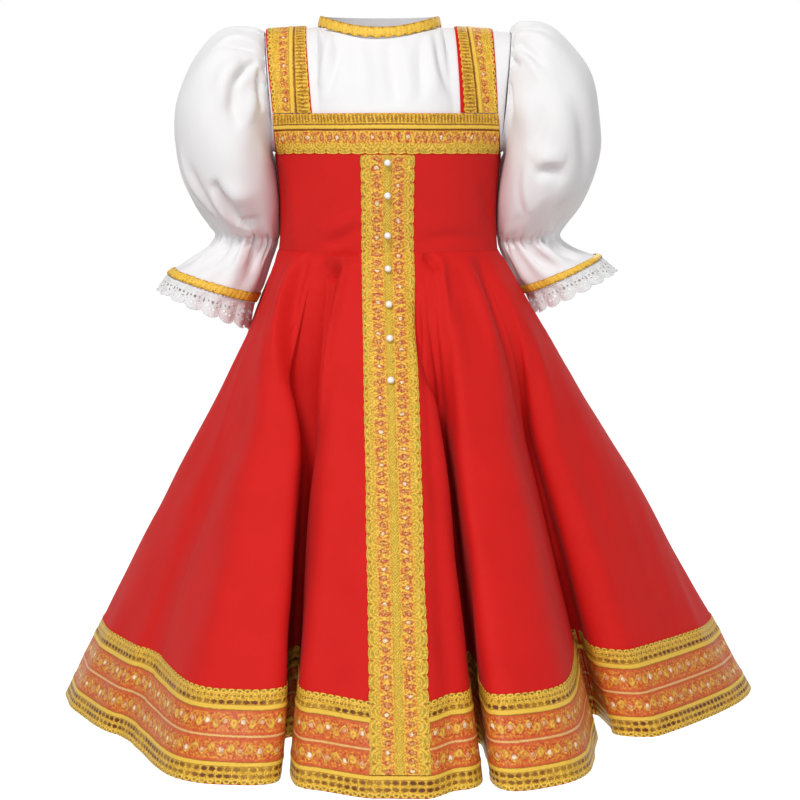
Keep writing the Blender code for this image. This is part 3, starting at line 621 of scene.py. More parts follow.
# How far apart a strip's repeats are, in mm
PITCHES = {"bars": 4.1, "scallops": 14.6, "bumps": 12.0, "motif": 9.3}
PITCHES |= dict.fromkeys(("picots", "loops", "slots"), 8.2)

# Linear colours
RED = (0.640, 0.0125, 0.0105)
RED_DEEP = (0.470, 0.007, 0.006)
WHITE = (0.822, 0.812, 0.820)
WHITE_DEEP = (0.740, 0.730, 0.750)
LACE_WHITE = (0.900, 0.895, 0.898)
LACE_DEEP = (0.660, 0.660, 0.670)
# The light gold is the jacquards' bright gold thread and also the braids' painted highlight; the deep gold is
# painted shade on the braids, and olive is a thread colour that the gold ground also uses as painted shade
GOLD = (0.740, 0.385, 0.026)
GOLD_LIGHT = (0.930, 0.610, 0.080)
GOLD_SHADE = (0.330, 0.115, 0.009)
OLIVE = (0.440, 0.330, 0.040)
ORANGE = (0.680, 0.190, 0.035)
RED_ORANGE = (0.600, 0.085, 0.025)
CREAM = (0.950, 0.820, 0.560)
WINE = (0.300, 0.040, 0.012)
ROSE = (0.780, 0.430, 0.240)
# Painted shade in the braids' holes, grooves and gaps
SHADE_BROWN = (0.140, 0.034, 0.007)
PEARL = (0.900, 0.860, 0.820)
PEARL_WARM = (0.930, 0.800, 0.740)

CREASE_SAMPLES = 40
CREASE_REACH = 3.5
CREASE_TAPER = 0.8

# The cloth's soft random waves: how high, their length, their seed, and how they are stretched
YOKE_WAVE = (0.001, 0.05, 3)
BODICE_WAVE = (0.0006, 0.07, 5, (1, 1, 2))
SKIRT_WAVES = ((0.0016, 0.075, 7, (1, 1, 9)), (0.0006, 0.03, 8, (1, 1, 12)))
SLEEVE_WAVES = {side: (0.0012, 0.06, 20 + side) for side in (-1, 1)}
WAVE_PARTS = 6
WAVE_SCALE = 1.3


def crease_lines(creases, place):
    """Each crease as points along its bent line on a surface, with its width and height."""
    t = np.linspace(0, 1, CREASE_SAMPLES)
    weights = (2 * (t - 0.5) * (t - 1), 4 * t * (1 - t), 2 * t * (t - 0.5))
    lines = []
    for row in rows_of(creases):
        first, second, third, fourth, fifth, sixth, width, height = row.values()
        u = sum(weight * value for weight, value in zip(weights, (first, third, fifth)))
        v = sum(weight * value for weight, value in zip(weights, (second, fourth, sixth)))
        lines.append((place(u, v), width, height))
    return lines


def creased(points, lines):
    """How far the creases raise or sink each point."""
    flat = points.reshape(-1, 3)
    height = np.zeros(len(flat))
    for line, width, depth in lines:
        reach = CREASE_REACH * width
        near = np.all((flat > line.min(axis=0) - reach) & (flat < line.max(axis=0) + reach), axis=1)
        if not near.any():
            continue
        away = np.linalg.norm(flat[near, None] - line[None], axis=2)
        along = away.argmin(axis=1) / (CREASE_SAMPLES - 1)
        taper = np.sin(math.pi * along) ** CREASE_TAPER
        height[near] += depth * taper * bell(away.min(axis=1) / width)
    return height.reshape(points.shape[:-1])


def waver(points, height, length, seed, stretch=(1, 1, 1)):
    """A soft random wave through space, of about that height and wavelength."""
    random = np.random.default_rng(seed)
    total = 0.0
    for _ in range(WAVE_PARTS):
        direction = unit(random.normal(size=3)) / np.array(stretch)
        turns = points @ direction / length * random.uniform(0.7, 1.3)
        total = total + np.sin(2 * math.pi * (turns + random.uniform()))
    return height * total / WAVE_PARTS**0.5 / WAVE_SCALE


def uneven(turn, seed):
    """A factor round 1 that changes smoothly and irregularly round a full turn in degrees."""
    random = np.random.default_rng(seed)
    total = 1.0
    for frequency in (3, 5, 8, 13):
        total = total + 0.2 * np.sin(np.radians(turn) * frequency + random.uniform(0, 2 * math.pi))
    return total


def gathers(turn, ring, side):
    """The fine gathers of a sleeve, as narrow troughs between rounded puffs."""
    depth = 0.0
    for number, row in enumerate(rows_of(GATHER_ROWS)):
        seed = 10 * number + side
        phase = np.radians(turn) * row["count"] + GATHER_WANDER * uneven(turn, seed + 1)
        trough = (0.5 - 0.5 * np.cos(phase)) ** 2
        reach = uneven(turn, seed + 2) * np.where(ring < row["ring"], row["up"], row["down"])
        fade = bell((ring - row["ring"]) / reach)
        if row["ring"] == 0:
            outside = 0.5 + 0.5 * np.cos(np.radians(turn))
            fade = fade * smooth(ring / 0.3) * (INNER_GATHERS + (1 - INNER_GATHERS) * outside)
        size = np.clip(uneven(turn, seed + 3), *GATHER_LIMITS) ** GATHER_CONTRAST
        depth = depth - row["depth"] * trough * fade * size
    return depth


SLEEVE_LINES = {side: crease_lines(rows, partial(sleeve, side)) for side, rows in SLEEVE_CREASES.items()}
YOKE_LINES = crease_lines(YOKE_CREASES, torso)
BODICE_LINES = crease_lines(BODICE_CREASES, torso)
STATION_STEPS = np.linspace(0, len(HEM_POINTS), 4001)
BEARINGS = np.unwrap(skirt_ends(STATION_STEPS)[2], period=360)


def below_waist(bearing, fall):
    """A place on the skirt, down its line from where a bearing meets the waist."""
    turned = (bearing - BEARINGS[0]) % 360 + BEARINGS[0]
    return skirt(np.interp(turned, BEARINGS, STATION_STEPS), fall)


SKIRT_LINES = crease_lines(SKIRT_CREASES, below_waist)
BODICE_TOP_RISE = {back: float(rise_at(0.0, BODICE_TOP_Z, back)[0]) for back in (False, True)}


def torso_at(angle, rise, height, back=False):
    """A point at a height above the creased torso."""
    angle, rise = floats(angle, rise)
    points = torso(angle, rise, back)
    above, sideways = rise - BODICE_TOP_RISE[back], STRAP_INNER - np.abs(angle)
    in_yoke = smooth(sideways / YOKE_FADES[0]) * smooth(above / YOKE_FADES[1])
    across = np.radians(angle) * NECK_GATHERS * 90 / NECK_ANGLE / 2
    near_neck = smooth((rise - NECK_GATHER_START) / 0.25) * smooth((2 - rise) / 0.02)
    neck = NECK_GATHER_DEPTH * (0.5 - 0.5 * np.cos(across)) ** 2 * near_neck
    relief = in_yoke * (waver(points, *YOKE_WAVE) - neck * uneven(4 * angle, 4))
    below = smooth(rise / BODICE_FADES[0]) * smooth(-above / BODICE_FADES[1])
    relief = relief + below * waver(points, *BODICE_WAVE)
    if not back:
        relief = relief + in_yoke * YOKE_CREASE_DEPTH * creased(points, YOKE_LINES)
        relief = relief + below * BODICE_CREASE_DEPTH * creased(points, BODICE_LINES)
    return points + torso_normals(angle, rise, back) * (relief + height)[..., None]


def skirt_at(station, fall, height):
    """A point at a height above the creased skirt."""
    station, fall = floats(station, fall)
    points = skirt(station, fall)
    streaks = sum(waver(points, *wave) for wave in SKIRT_WAVES)
    creases = smooth(fall / SKIRT_CREASE_FADE) * creased(points, SKIRT_LINES)
    relief = smooth(fall / STREAK_FADE) * streaks + creases
    return points + skirt_normals(station, fall) * (relief + height)[..., None]


def sleeve_at(side, turn, ring, height):
    """A point at a height above a creased sleeve."""
    turn, ring = floats(turn, ring)
    points = sleeve(side, turn, ring)
    inside = smooth(ring / HEAD_FADE) * smooth((CUFF_BRAID_START - ring) / CUFF_FADE)
    on_wall = np.minimum(ring, CUFF_EDGE_RING)
    creases = SLEEVE_CREASE_DEPTH * creased(points, SLEEVE_LINES[side])
    relief = inside * (creases + waver(points, *SLEEVE_WAVES[side]))
    relief = relief + gathers(turn, on_wall, side) * smooth((CUFF_GATHER_END - ring) / CUFF_GATHER_FADE)
    beside_chest = smooth((CHEST_COSINE - np.cos(np.radians(turn))) / CHEST_COSINE_FADE)
    (first, last), (start_fade, end_fade) = CHEST_RINGS, CHEST_RING_FADES
    end = smooth((last - ring) / end_fade)
    relief = relief * (1 - beside_chest * np.where(relief > 0, 1, smooth(ring) * end))
    behind = BACK_BULGE * bell((turn % 360 - BACK_BULGE_TURN) / BACK_BULGE_WIDTH)
    relief = relief + (CHEST_BULGES[side] * beside_chest + behind) * smooth((ring - first) / start_fade) * end
    return points + sleeve_normals(side, turn, ring) * (relief + height)[..., None]


def operator(operation):
    return lambda wire, *others: wire.calculated(operation, *others)


class Wire:
    """One number inside a material, so that its patterns read as formulas."""

    def __init__(self, tree, socket):
        self.tree, self.socket = tree, socket

    def calculated(self, operation, *others):
        node = self.tree.nodes.new("ShaderNodeMath")
        node.operation = operation
        for slot, value in zip(node.inputs, (self, *others)):
            if isinstance(value, Wire):
                self.tree.links.new(value.socket, slot)
            else:
                slot.default_value = value
        return Wire(self.tree, node.outputs[0])

    __add__ = __radd__ = operator("ADD")
    __sub__ = operator("SUBTRACT")
    __mul__ = __rmul__ = operator("MULTIPLY")
    __truediv__ = operator("DIVIDE")
    __abs__ = operator("ABSOLUTE")
    sine, fraction, largest, root = (operator(name) for name in ("SINE", "FRACT", "MAXIMUM", "SQRT"))

    def __rsub__(self, other):
        return self * -1.0 + other

    def ramp(self, low, high):
        """0 below low and 1 above high, turning softly between. low may be above high."""
        node = self.tree.nodes.new("ShaderNodeMapRange")
        node.interpolation_type = "SMOOTHSTEP"
        self.tree.links.new(self.socket, node.inputs["Value"])
        node.inputs["From Min"].default_value = min(low, high)
        node.inputs["From Max"].default_value = max(low, high)
        node.inputs["To Min"].default_value = float(low > high)
        node.inputs["To Max"].default_value = float(low < high)
        return Wire(self.tree, node.outputs["Result"])

    def within(self, half, soft):
        """1 where this is less than half away from zero, and 0 beyond."""
        return abs(self).ramp(half + soft / 2, half - soft / 2)

    def cell(self, pitch):
        """How far this is from the middle of its repeat."""
        return ((self / pitch).fraction() - 0.5) * pitch

    def wave(self, pitch):
        return (self * (2 * math.pi / pitch)).sine()


class Cloth:
    """A material being made: its place on the cloth in millimetres, its nodes and its shader."""

    def __init__(self, name, roughness, sheen=0.0, gloss=0.5, bump=0.3):
        self.material = bpy.data.materials.new(name)
        self.material.use_nodes = True
        self.tree = self.material.node_tree
        self.shader = self.tree.nodes["Principled BSDF"]
        self.set_shader(("Roughness", roughness), ("Specular IOR Level", gloss))
        self.set_shader(("Sheen Weight", sheen), ("Sheen Roughness", 0.45))
        self.bump = bump
        uv = self.tree.nodes.new("ShaderNodeUVMap")
        uv.uv_map = "cloth"
        split = self.tree.nodes.new("ShaderNodeSeparateXYZ")
        self.tree.links.new(uv.outputs["UV"], split.inputs[0])
        self.x, self.y = (Wire(self.tree, split.outputs[axis]) * 1000.0 for axis in (0, 1))

    def set_shader(self, *values):
        for name, value in values:
            self.shader.inputs[name].default_value = value

    def noise(self, size, detail=2.0, stretch=1.0, seed=0.0):
        """Noise over the cloth from 0 to 1, of spots about that many millimetres across."""
        join = self.tree.nodes.new("ShaderNodeCombineXYZ")
        for slot, value in zip(join.inputs, (self.x / (size * stretch), self.y / size, self.x * 0.0 + seed)):
            self.tree.links.new(value.socket, slot)
        node = self.tree.nodes.new("ShaderNodeTexNoise")
        node.inputs["Scale"].default_value = 1.0
        node.inputs["Detail"].default_value = detail
        self.tree.links.new(join.outputs[0], node.inputs["Vector"])
        return Wire(self.tree, node.outputs[0])

    def mix(self, color, *layers):
        """A colour with others laid over it, each by its factor. A colour is three numbers or a socket."""
        for above, factor in layers:
            node = self.tree.nodes.new("ShaderNodeMix")
            node.data_type = "RGBA"
            self.tree.links.new(factor.socket, node.inputs[0])
            for slot, value in ((node.inputs[6], color), (node.inputs[7], above)):
                if isinstance(value, tuple):
                    slot.default_value = (*value, 1.0)
                else:
                    self.tree.links.new(value, slot)
            color = node.outputs[2]
        return color

    def finish(self, color, height):
        """Paints the shader, and raises the surface by height in millimetres."""
        self.tree.links.new(color, self.shader.inputs["Base Color"])
        bump = self.tree.nodes.new("ShaderNodeBump")
        bump.inputs["Strength"].default_value = self.bump
        bump.inputs["Distance"].default_value = 0.001
        self.tree.links.new(height.socket, bump.inputs["Height"])
        self.tree.links.new(bump.outputs["Normal"], self.shader.inputs["Normal"])
        return self.material


def red_material():
    """A medium-weight plain weave."""
    cloth = Cloth("red_cloth", roughness=0.6, sheen=0.02, gloss=0.10, bump=0.35)
    threads = cloth.x.wave(0.55) * cloth.y.wave(0.55)
    mottle, slub = cloth.noise(45.0, seed=1.0), cloth.noise(1.2, stretch=6.0, seed=2.0)
    woven = threads.ramp(0.2, -0.9) * 0.25 + slub.ramp(0.55, 0.8) * 0.12
    color = cloth.mix(RED, (RED_DEEP, mottle.ramp(0.35, 0.85) * 0.22), (RED_DEEP, woven))
    return cloth.finish(color, threads * 0.10 + slub * 0.12)


def cotton_material():
    """A fine white plain weave."""
    cloth = Cloth("white_cotton", roughness=0.75, sheen=0.05, gloss=0.2, bump=0.3)
    threads = cloth.x.wave(0.42) * cloth.y.wave(0.42)
    slub = cloth.noise(1.0, stretch=8.0, seed=3.0)
    color = cloth.mix(WHITE, (WHITE_DEEP, threads.ramp(0.0, -1.0) * 0.18 + slub.ramp(0.6, 0.85) * 0.12))
    return cloth.finish(color, threads * 0.08 + slub * 0.10)


def lace_material():
    cloth = Cloth("white_lace", roughness=0.8, sheen=0.05, gloss=0.2, bump=0.5)
    threads = (cloth.x + cloth.y).wave(0.7) * (cloth.x - cloth.y).wave(0.7)
    return cloth.finish(cloth.mix(LACE_WHITE, (LACE_DEEP, threads.ramp(0.3, -0.8) * 0.35)), threads * 0.25)


def pearl_material():
    cloth = Cloth("pearl", roughness=0.22, bump=0.05)
    cloth.set_shader(("Coat Weight", 0.6), ("Coat Roughness", 0.08))
    glow = cloth.noise(3.0, seed=4.0)
    return cloth.finish(cloth.mix(PEARL, (PEARL_WARM, glow.ramp(0.4, 0.8) * 0.5)), glow * 0.1)


def gold_threads(cloth):
    """The plain gold ground, uneven with painted highlights, glints and olive shade, and its thread relief."""
    patch, fine = cloth.noise(6.0, detail=3.0, seed=5.0), cloth.noise(1.5, seed=6.0)
    color = cloth.mix(
        GOLD,
        # Random pools of painted highlight and of olive painted shade
        (GOLD_LIGHT, patch.ramp(0.46, 0.66) * 0.75),
        (OLIVE, patch.ramp(0.47, 0.33) * 0.6),
        # Fine painted glints and dark flecks, for the metal thread's sparkle
        (GOLD_SHADE, fine.ramp(0.48, 0.34) * 0.85),
        (GOLD_LIGHT, fine.ramp(0.53, 0.66) * 0.9),
    )
    return color, fine * 0.6


def spot(x, y, half_x, half_y, soft=0.5):
    """1 inside an ellipse, and 0 outside."""
    x, y = x / half_x, y / half_y
    return (x * x + y * y).root().ramp(1 + soft / 2, 1 - soft / 2)


# Each paint gives a strip's colour and relief. x and y are millimetres, y from the strip's middle and up
# towards the trim's own middle
def paint_cord(cloth, x, y, width, ground, relief):
    twist = (x + y * 1.3).wave(2.6)
    # Painted highlight along the twisted strands, and painted shade towards the cord's rounded edges
    color = cloth.mix(GOLD_LIGHT, (GOLD, twist.ramp(0.1, -0.9) * 0.6))
    return cloth.mix(GOLD_SHADE, (color, y.within(width * 0.36, width * 0.2) * 0.8 + 0.2)), twist * 0.2


def paint_shadow_groove(cloth, x, y, width, ground, relief):
    # A painted shadow line in dark brown and deep gold, where the strips beside it meet
    shut = cloth.noise(14.0, seed=7.0).ramp(0.42, 0.62)
    return cloth.mix(SHADE_BROWN, (GOLD_SHADE, shut * 0.8 + 0.15)), relief * 0.2


def paint_loops(cloth, x, y, width, ground, relief):
    """Gold loops side by side, each round a hole painted dark as shade, over a row of fainter ones."""
    pitch = PITCHES["loops"]
    place, beside = x.cell(pitch), (x + pitch / 2).cell(pitch)
    depth = cloth.noise(25.0, seed=11.0).ramp(0.35, 0.65) * 0.35 + 0.4
    inside, ring = spot(place, y, 1.5, width * 0.22), spot(place, y, 3.0, width * 0.42)
    between = spot(beside, y, 1.5, width * 0.40)
    # Painted highlight on the loops, and painted shade in both rows of holes
    color = cloth.mix(ground, (GOLD_LIGHT, ring * 0.7), (GOLD_SHADE, between * 0.75), (SHADE_BROWN, inside * depth))
    return color, relief + ring * 0.6 - inside * 1.2 - between * 0.5


def paint_picots(cloth, x, y, width, ground, relief):
    """An edge row of gold loops, whose holes, painted dark as shade, lie near the edge."""
    pitch = PITCHES["picots"]
    place, beside, low = x.cell(pitch), (x + pitch / 2).cell(pitch), y + width * 0.06
    depth = cloth.noise(25.0, seed=12.0).ramp(0.35, 0.65) * 0.35 + 0.45
    inside, ring = spot(place, low, 1.75, width * 0.2), spot(place, low, 3.6, width * 0.42)
    gap = spot(beside, y + width * 0.32, 1.3, width * 0.22)
    # Painted highlight on the loops, painted shade in the gaps between them and in their holes
    color = cloth.mix(ground, (GOLD_LIGHT, ring * 0.75), (GOLD_SHADE, gap * 0.8), (SHADE_BROWN, inside * depth))
    return color, relief + ring * 0.6 - inside * 1.3 - gap * 0.8


def paint_slots(cloth, x, y, width, ground, relief):
    """Slots between short gold stitches, painted dark as shade."""
    opened = cloth.noise(30.0, seed=8.0).ramp(0.34, 0.60) * 0.45 + 0.55
    inside = spot(x.cell(PITCHES["slots"]), y, 3.3, width * 0.46, 0.7) * opened
    return cloth.mix(ground, (SHADE_BROWN, inside)), relief - inside * 1.2


def paint_bars(cloth, x, y, width, ground, relief):
    """Close gold bars across the braid, over painted shade in deep gold and brown."""
    bar = (x + cloth.noise(9.0, seed=13.0) * 2.0).wave(PITCHES["bars"]).ramp(-0.7, 0.3)
    rung, edge = y.within(width * 0.07, width * 0.16), abs(y).ramp(width * 0.32, width * 0.42)
    gold = (ground, bar.largest(edge) * 0.65 + 0.35)
    # Painted shade between the bars and down their middle, and painted highlight on the bars near the strip's
    # edges
    color = cloth.mix(GOLD_SHADE, gold, (SHADE_BROWN, rung * (1.0 - bar) * 0.6), (GOLD_LIGHT, bar * edge * 0.5))
    return color, relief + bar * 0.9


def paint_weave(cloth, x, y, width, ground, relief):
    basket = (x + y).wave(3.4) * (x - y).wave(3.4)
    # The weave's raised crossings painted lighter, as highlight
    return cloth.mix(ground, (GOLD_LIGHT, basket.ramp(0.0, 0.8) * 0.5)), relief + basket * 0.3


def paint_line(cloth, x, y, width, ground, relief):
    middle = y.within(width * 0.3, width * 0.3)
    color = cloth.mix(GOLD, (CREAM, (x + y).wave(3.0).ramp(-0.6, 0.7) * 0.6))
    return cloth.mix(RED_ORANGE, (color, middle * 0.85)), relief * 0.4 + middle * 0.8


def paint_rib(cloth, x, y, width, ground, relief):
    """The band's gold and olive middle."""
    middle = y.within(width * 0.3, width * 0.3)
    stitches = (abs(y) * 1.2 + x).wave(3.6)
    # The rib's raised middle painted lighter, as highlight
    color = cloth.mix(ground, (GOLD_LIGHT, middle * 0.35), (OLIVE, stitches.ramp(0.1, -0.9) * 0.7))
    return color, relief + stitches * 0.3 + middle * 0.4


def paint_scallops(cloth, x, y, width, ground, relief):
    """A gold fan to each scallop, round an olive eye."""
    place, from_root = x.cell(PITCHES["scallops"]), y - width / 2
    arcs = (place * place + from_root * from_root).root().wave(3.4)
    eye = spot(place, y + width * 0.12, 1.7, 1.4)
    between = spot(abs(place) - PITCHES["scallops"] / 2, y + width * 0.2, 1.2, 1.7)
    fan = (GOLD_LIGHT, arcs.ramp(0.0, 0.9) * 0.45), (OLIVE, arcs.ramp(-0.2, -0.9) * 0.6)
    # Painted shade in deep gold between the scallops
    color = cloth.mix(ground, *fan, (OLIVE, eye * 0.8), (GOLD_SHADE, between * 0.75))
    return color, relief + arcs * 0.35 - eye * 0.4


def paint_bumps(cloth, x, y, width, ground, relief):
    """A round, knobbly braid: painted highlight on its knobs, painted shade at its edges and in its hollows.
    """
    pitch = PITCHES["bumps"]
    knob = spot((x + pitch / 4).cell(pitch / 2), y, pitch * 0.27, width * 0.50, 0.9)
    hollow = spot(abs(x.cell(pitch)) - pitch / 2, abs(y) - width * 0.5, 1.4, width * 0.2, 0.9)
    edge = abs(y).ramp(width * 0.34, width * 0.5)
    color = cloth.mix(ground, (GOLD_LIGHT, knob * 0.55), (GOLD_SHADE, edge * 0.5), (GOLD_SHADE, hollow * 0.7))
    return color, relief + knob * 0.8


def paint_motif(cloth, x, y, width, ground, relief):
    """A common jacquard row on orange: gold rings and pale dots by turns, and a vine that winds between."""
    step = PITCHES["motif"]
    x, y = x + (cloth.noise(12.0, seed=18.0) - 0.5) * 5.0, y + (cloth.noise(9.0, seed=19.0) - 0.5) * 4.0
    ring_x, dot_x, stroke_x = x.cell(2 * step), (x + step).cell(2 * step), (x + step / 2).cell(step)
    ring_y, dot_y, tall = y - width * 0.04, y + width * 0.04, width * 0.17
    tint, speck = cloth.noise(7.0, seed=9.0), cloth.noise(2.4, detail=3.0, seed=10.0)
    border = abs(y).ramp(width / 2 - 3.2, width / 2 - 1.6)
    bend = (x + step / 2).wave(2 * step) * (width * 0.22)
    vine = (y + bend).within(0.8, 1.4) * (tint.ramp(0.3, 0.5) * 0.5 + 0.3)
    stroke = (stroke_x + y * 0.4).within(0.5, 1.0) * abs(y).ramp(width * 0.34, width * 0.20)
    ring, dot = spot(ring_x, ring_y, 3.4, tall * 0.95, 0.9), spot(dot_x, dot_y, 2.3, tall * 0.62, 0.9)
    color = cloth.mix(
        ORANGE,
        (RED_ORANGE, tint.ramp(0.38, 0.62)),
        (RED_ORANGE, border * 0.7),
        (GOLD, speck.ramp(0.51, 0.63) * (1.0 - border * 0.8) * 0.8),
        (WINE, speck.ramp(0.46, 0.36) * (1.0 - border * 0.5) * 0.65),
        # Painted shadow in wine alongside the vine
        (WINE, (y + bend + 1.7).within(0.5, 1.2) * 0.4),
        (GOLD_LIGHT, vine),
        (WINE, stroke * 0.5),
        (WINE, spot(ring_x, ring_y, 4.4, tall * 1.25, 0.7) * 0.45),
        (GOLD_LIGHT, ring * (tint.ramp(0.60, 0.42) * 0.45 + 0.35)),
        (RED_ORANGE, spot(ring_x, ring_y, 1.3, tall * 0.42) * 0.6),
        (WINE, spot(dot_x, dot_y, 3.0, tall * 0.85) * 0.4),
    )
    pale = cloth.mix(ROSE, (CREAM, abs(x.cell(4 * step)).ramp(step - 0.1, step + 0.1)))
    color = cloth.mix(color, (pale, dot * (tint.ramp(0.36, 0.54) * 0.5 + 0.45)))
    return color, speck * 0.5 + ring * 0.5 + dot * 0.5 + vine * 0.4


def paint_brocade(cloth, x, y, width, ground, relief):
    """A narrow jacquard row on gold: uneven orange fields with leaves and dots, one in four of them pale."""
    step = PITCHES["motif"]
    x, y = x + (cloth.noise(11.0, seed=16.0) - 0.5) * 7.0, y + (cloth.noise(8.0, seed=17.0) - 0.5) * 3.0
    place, beside = x.cell(step), abs((x + step / 2).cell(step))
    patch, speck = cloth.noise(5.0, detail=3.0, seed=14.0), cloth.noise(2.0, detail=3.0, seed=15.0)
    field = abs(y).ramp(width * 0.50, width * 0.36)
    leaf = (beside - 0.4 - abs(y) * 0.4).within(0.9, 1.4) * field
    dot = spot(place, y, 1.9, width * 0.15, 0.8)
    white = (x.cell(4 * step) - step / 2).within(step / 2, 0.2)
    color = cloth.mix(
        ground,
        (ORANGE, field * patch.ramp(0.36, 0.50) * 0.85),
        (RED_ORANGE, field * patch.ramp(0.50, 0.62) * 0.9),
        (WINE, (beside - 2.2 - abs(y) * 0.4).within(0.4, 1.1) * field * 0.5),
        (GOLD_LIGHT, leaf * (patch.ramp(0.60, 0.45) * 0.5 + 0.3)),
        (WINE, speck.ramp(0.44, 0.34) * field * 0.75),
        (WINE, spot(place, y, 2.9, width * 0.22, 0.8) * 0.4),
        (cloth.mix(ROSE, (CREAM, white)), dot * (white * 0.4 + speck.ramp(0.40, 0.56) * 0.55)),
        (GOLD_LIGHT, speck.ramp(0.55, 0.66) * 0.7),
    )
    return color, relief + leaf * 0.5 + dot * 0.6


PAINTS = {
    "cord": paint_cord,
    "groove": paint_shadow_groove,
    "loops": paint_loops,
    "picots": paint_picots,
    "slots": paint_slots,
    "weave": paint_weave,
    "line": paint_line,
    "rib": paint_rib,
    "scallops": paint_scallops,
    "bumps": paint_bumps,
    "bars": paint_bars,
    "motif": paint_motif,
    "brocade": paint_brocade,
}


def trim_material(kind):
    """A trim's strips side by side, each painted in millimetres from its own middle."""
    cloth = Cloth(kind, roughness=0.42, gloss=0.22, bump=0.9)
    ground, relief = gold_threads(cloth)
    waver_x, waver_y = (cloth.noise(2.6, seed=21.0) - 0.5) * 3.0, (cloth.noise(2.6, seed=22.0) - 0.5) * 1.8
    total, start = sum(width for _, width in TRIMS[kind]), 0.0
    for number, (paint, width) in enumerate(TRIMS[kind]):
        outward = -1.0 if start + width / 2 > total / 2 else 1.0
        x = cloth.x + waver_x
        if paint in ("motif", "brocade"):
            x = x + PITCHES["motif"] * number
        y = (cloth.y + waver_y - (start + width / 2)) * outward
        painted, raised = PAINTS[paint](cloth, x, y, width, ground, relief)
        if number == 0:
            color, height = painted, raised
        else:
            here = (cloth.y + waver_y * 0.4).ramp(start - 0.3, start + 0.3)
            color, height = cloth.mix(color, (painted, here)), height + (raised - height) * here
        start += width
    return cloth.finish(color, height)


MATERIALS = {
    "red_cloth": red_material(),
    "white_cotton": cotton_material(),
    "white_lace": lace_material(),
    "pearl": pearl_material(),
}
MATERIALS |= {kind: trim_material(kind) for kind in TRIMS}
# A trim's slot. The other materials are named after theirs
SLOTS = {kind: "gold_braid" for kind in TRIMS}
SLOTS |= {kind: "jacquard_ribbon" for kind in ("hem_ribbon", "chest_band", "center_band", "strap_braid")}
SIDE_NAMES = (("left", -1), ("right", 1))
SHARP_ANGLE = 55


def add_piece(name, node, material, points, faces, places, lining=None, lined=()):
    """One piece in place of a node. places are its faces' corners on the cloth, lined its lining's faces."""
    mesh = bpy.data.meshes.new(name)
    mesh.from_pydata(points.tolist(), [], faces)
    mesh.uv_layers.new(name="cloth").data.foreach_set("uv", places.astype(np.float32).ravel())
    mesh.materials.append(MATERIALS[material])
    if lining:
        mesh.materials.append(MATERIALS[lining])
        mesh.polygons.foreach_set("material_index", [int(number in lined) for number in range(len(faces))])
    mesh.shade_smooth()
    mesh.set_sharp_from_angle(angle=math.radians(SHARP_ANGLE))
    piece = bpy.data.objects.new(name, mesh)
    bpy.context.scene.collection.objects.link(piece)
    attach(piece, "root")
    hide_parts(node)


def lengths(points, axis=0):
    """Distances along a line, or a grid's rows or columns, from the first point."""
    steps = np.linalg.norm(np.diff(points, axis=axis), axis=-1)
    return np.pad(np.cumsum(steps, axis=axis), [(int(side == axis), 0) for side in range(steps.ndim)])


def wall(name, outer, inner, uv, material, node, closed=False, lining=None):
    """One closed wall between two grids of points, whose rows run up and whose columns run to the right. uv
    has a column more than a closed grid has."""
    rows, columns = outer.shape[:2]
    count, wide = rows * columns, columns if closed else columns - 1
    row, column = (a.ravel() for a in np.mgrid[0 : rows - 1, 0:wide])
    corners = np.stack([[row, column], [row, column + 1], [row + 1, column + 1], [row + 1, column]], axis=-1)
    index = corners[0] * columns + corners[1] % columns
    places = uv[corners[0], corners[1]]
    quads, quad_uv = [index, index[:, ::-1] + count], [places, places[:, ::-1]]
    across, up = np.arange(wide), np.arange(rows - 1)
    rims = [(0, across + 1, 0, across), (rows - 1, across, rows - 1, across + 1)]
    if not closed:
        rims += [(up, 0, up + 1, 0), (up + 1, columns - 1, up, columns - 1)]
    for row_a, column_a, row_b, column_b in rims:
        a, b = row_a * columns + column_a % columns, row_b * columns + column_b % columns
        first, second = uv[row_a, column_a], uv[row_b, column_b]
        quads.append(np.stack([a, b, b + count, a + count], axis=-1))
        quad_uv.append(np.stack([first, second, second, first], axis=1))
    points = np.concatenate([outer.reshape(-1, 3), inner.reshape(-1, 3)])
    lined = range(len(index), 2 * len(index))
    faces, places = np.concatenate(quads).tolist(), np.concatenate(quad_uv)
    add_piece(name, node, material, points, faces, places, lining, lined)


EDGE_ROUND = 0.0012
EDGE_SINK = 0.0007


def edge_sink(points, sides):
    """How far a panel's outer skin falls towards its named edges, so that seams show as soft grooves."""
    sink = np.zeros(points.shape[:2])
    for side in sides.split():
        axis = int(side in ("left", "right"))
        away = lengths(points, axis)
        if side in ("top", "right"):
            away = away.take([-1], axis=axis) - away
        sink = np.maximum(sink, EDGE_SINK * bell(away / EDGE_ROUND))
    return sink


def panel(name, place, u, v, skins, sides, material, closed=False):
    """A cloth piece over a grid of places on a surface. uv is in metres, from the middle column."""
    middle = place(u, v, skins[1])
    outer = place(u, v, skins[1] - edge_sink(middle, sides))
    across = lengths(middle, 1)
    uv = np.stack([across - across[:, across.shape[1] // 2][:, None], lengths(middle)], axis=-1)
    if closed:
        last = np.linalg.norm(middle[:, -1] - middle[:, 0], axis=-1) + uv[:, -1, 0]
        uv = np.concatenate([uv, np.stack([last, uv[:, -1, 1]], axis=-1)[:, None]], axis=1)
    wall(f"{name}_cloth", outer, place(u, v, skins[0]), uv, material, name, closed)


def rises_to(back, level):
    """The rise at a level, as a smooth function of the angle."""
    angles = np.linspace(0, 90, 61)
    values = rise_at(angles, level, back)
    return lambda angle: np.interp(np.abs(angle), angles, values)


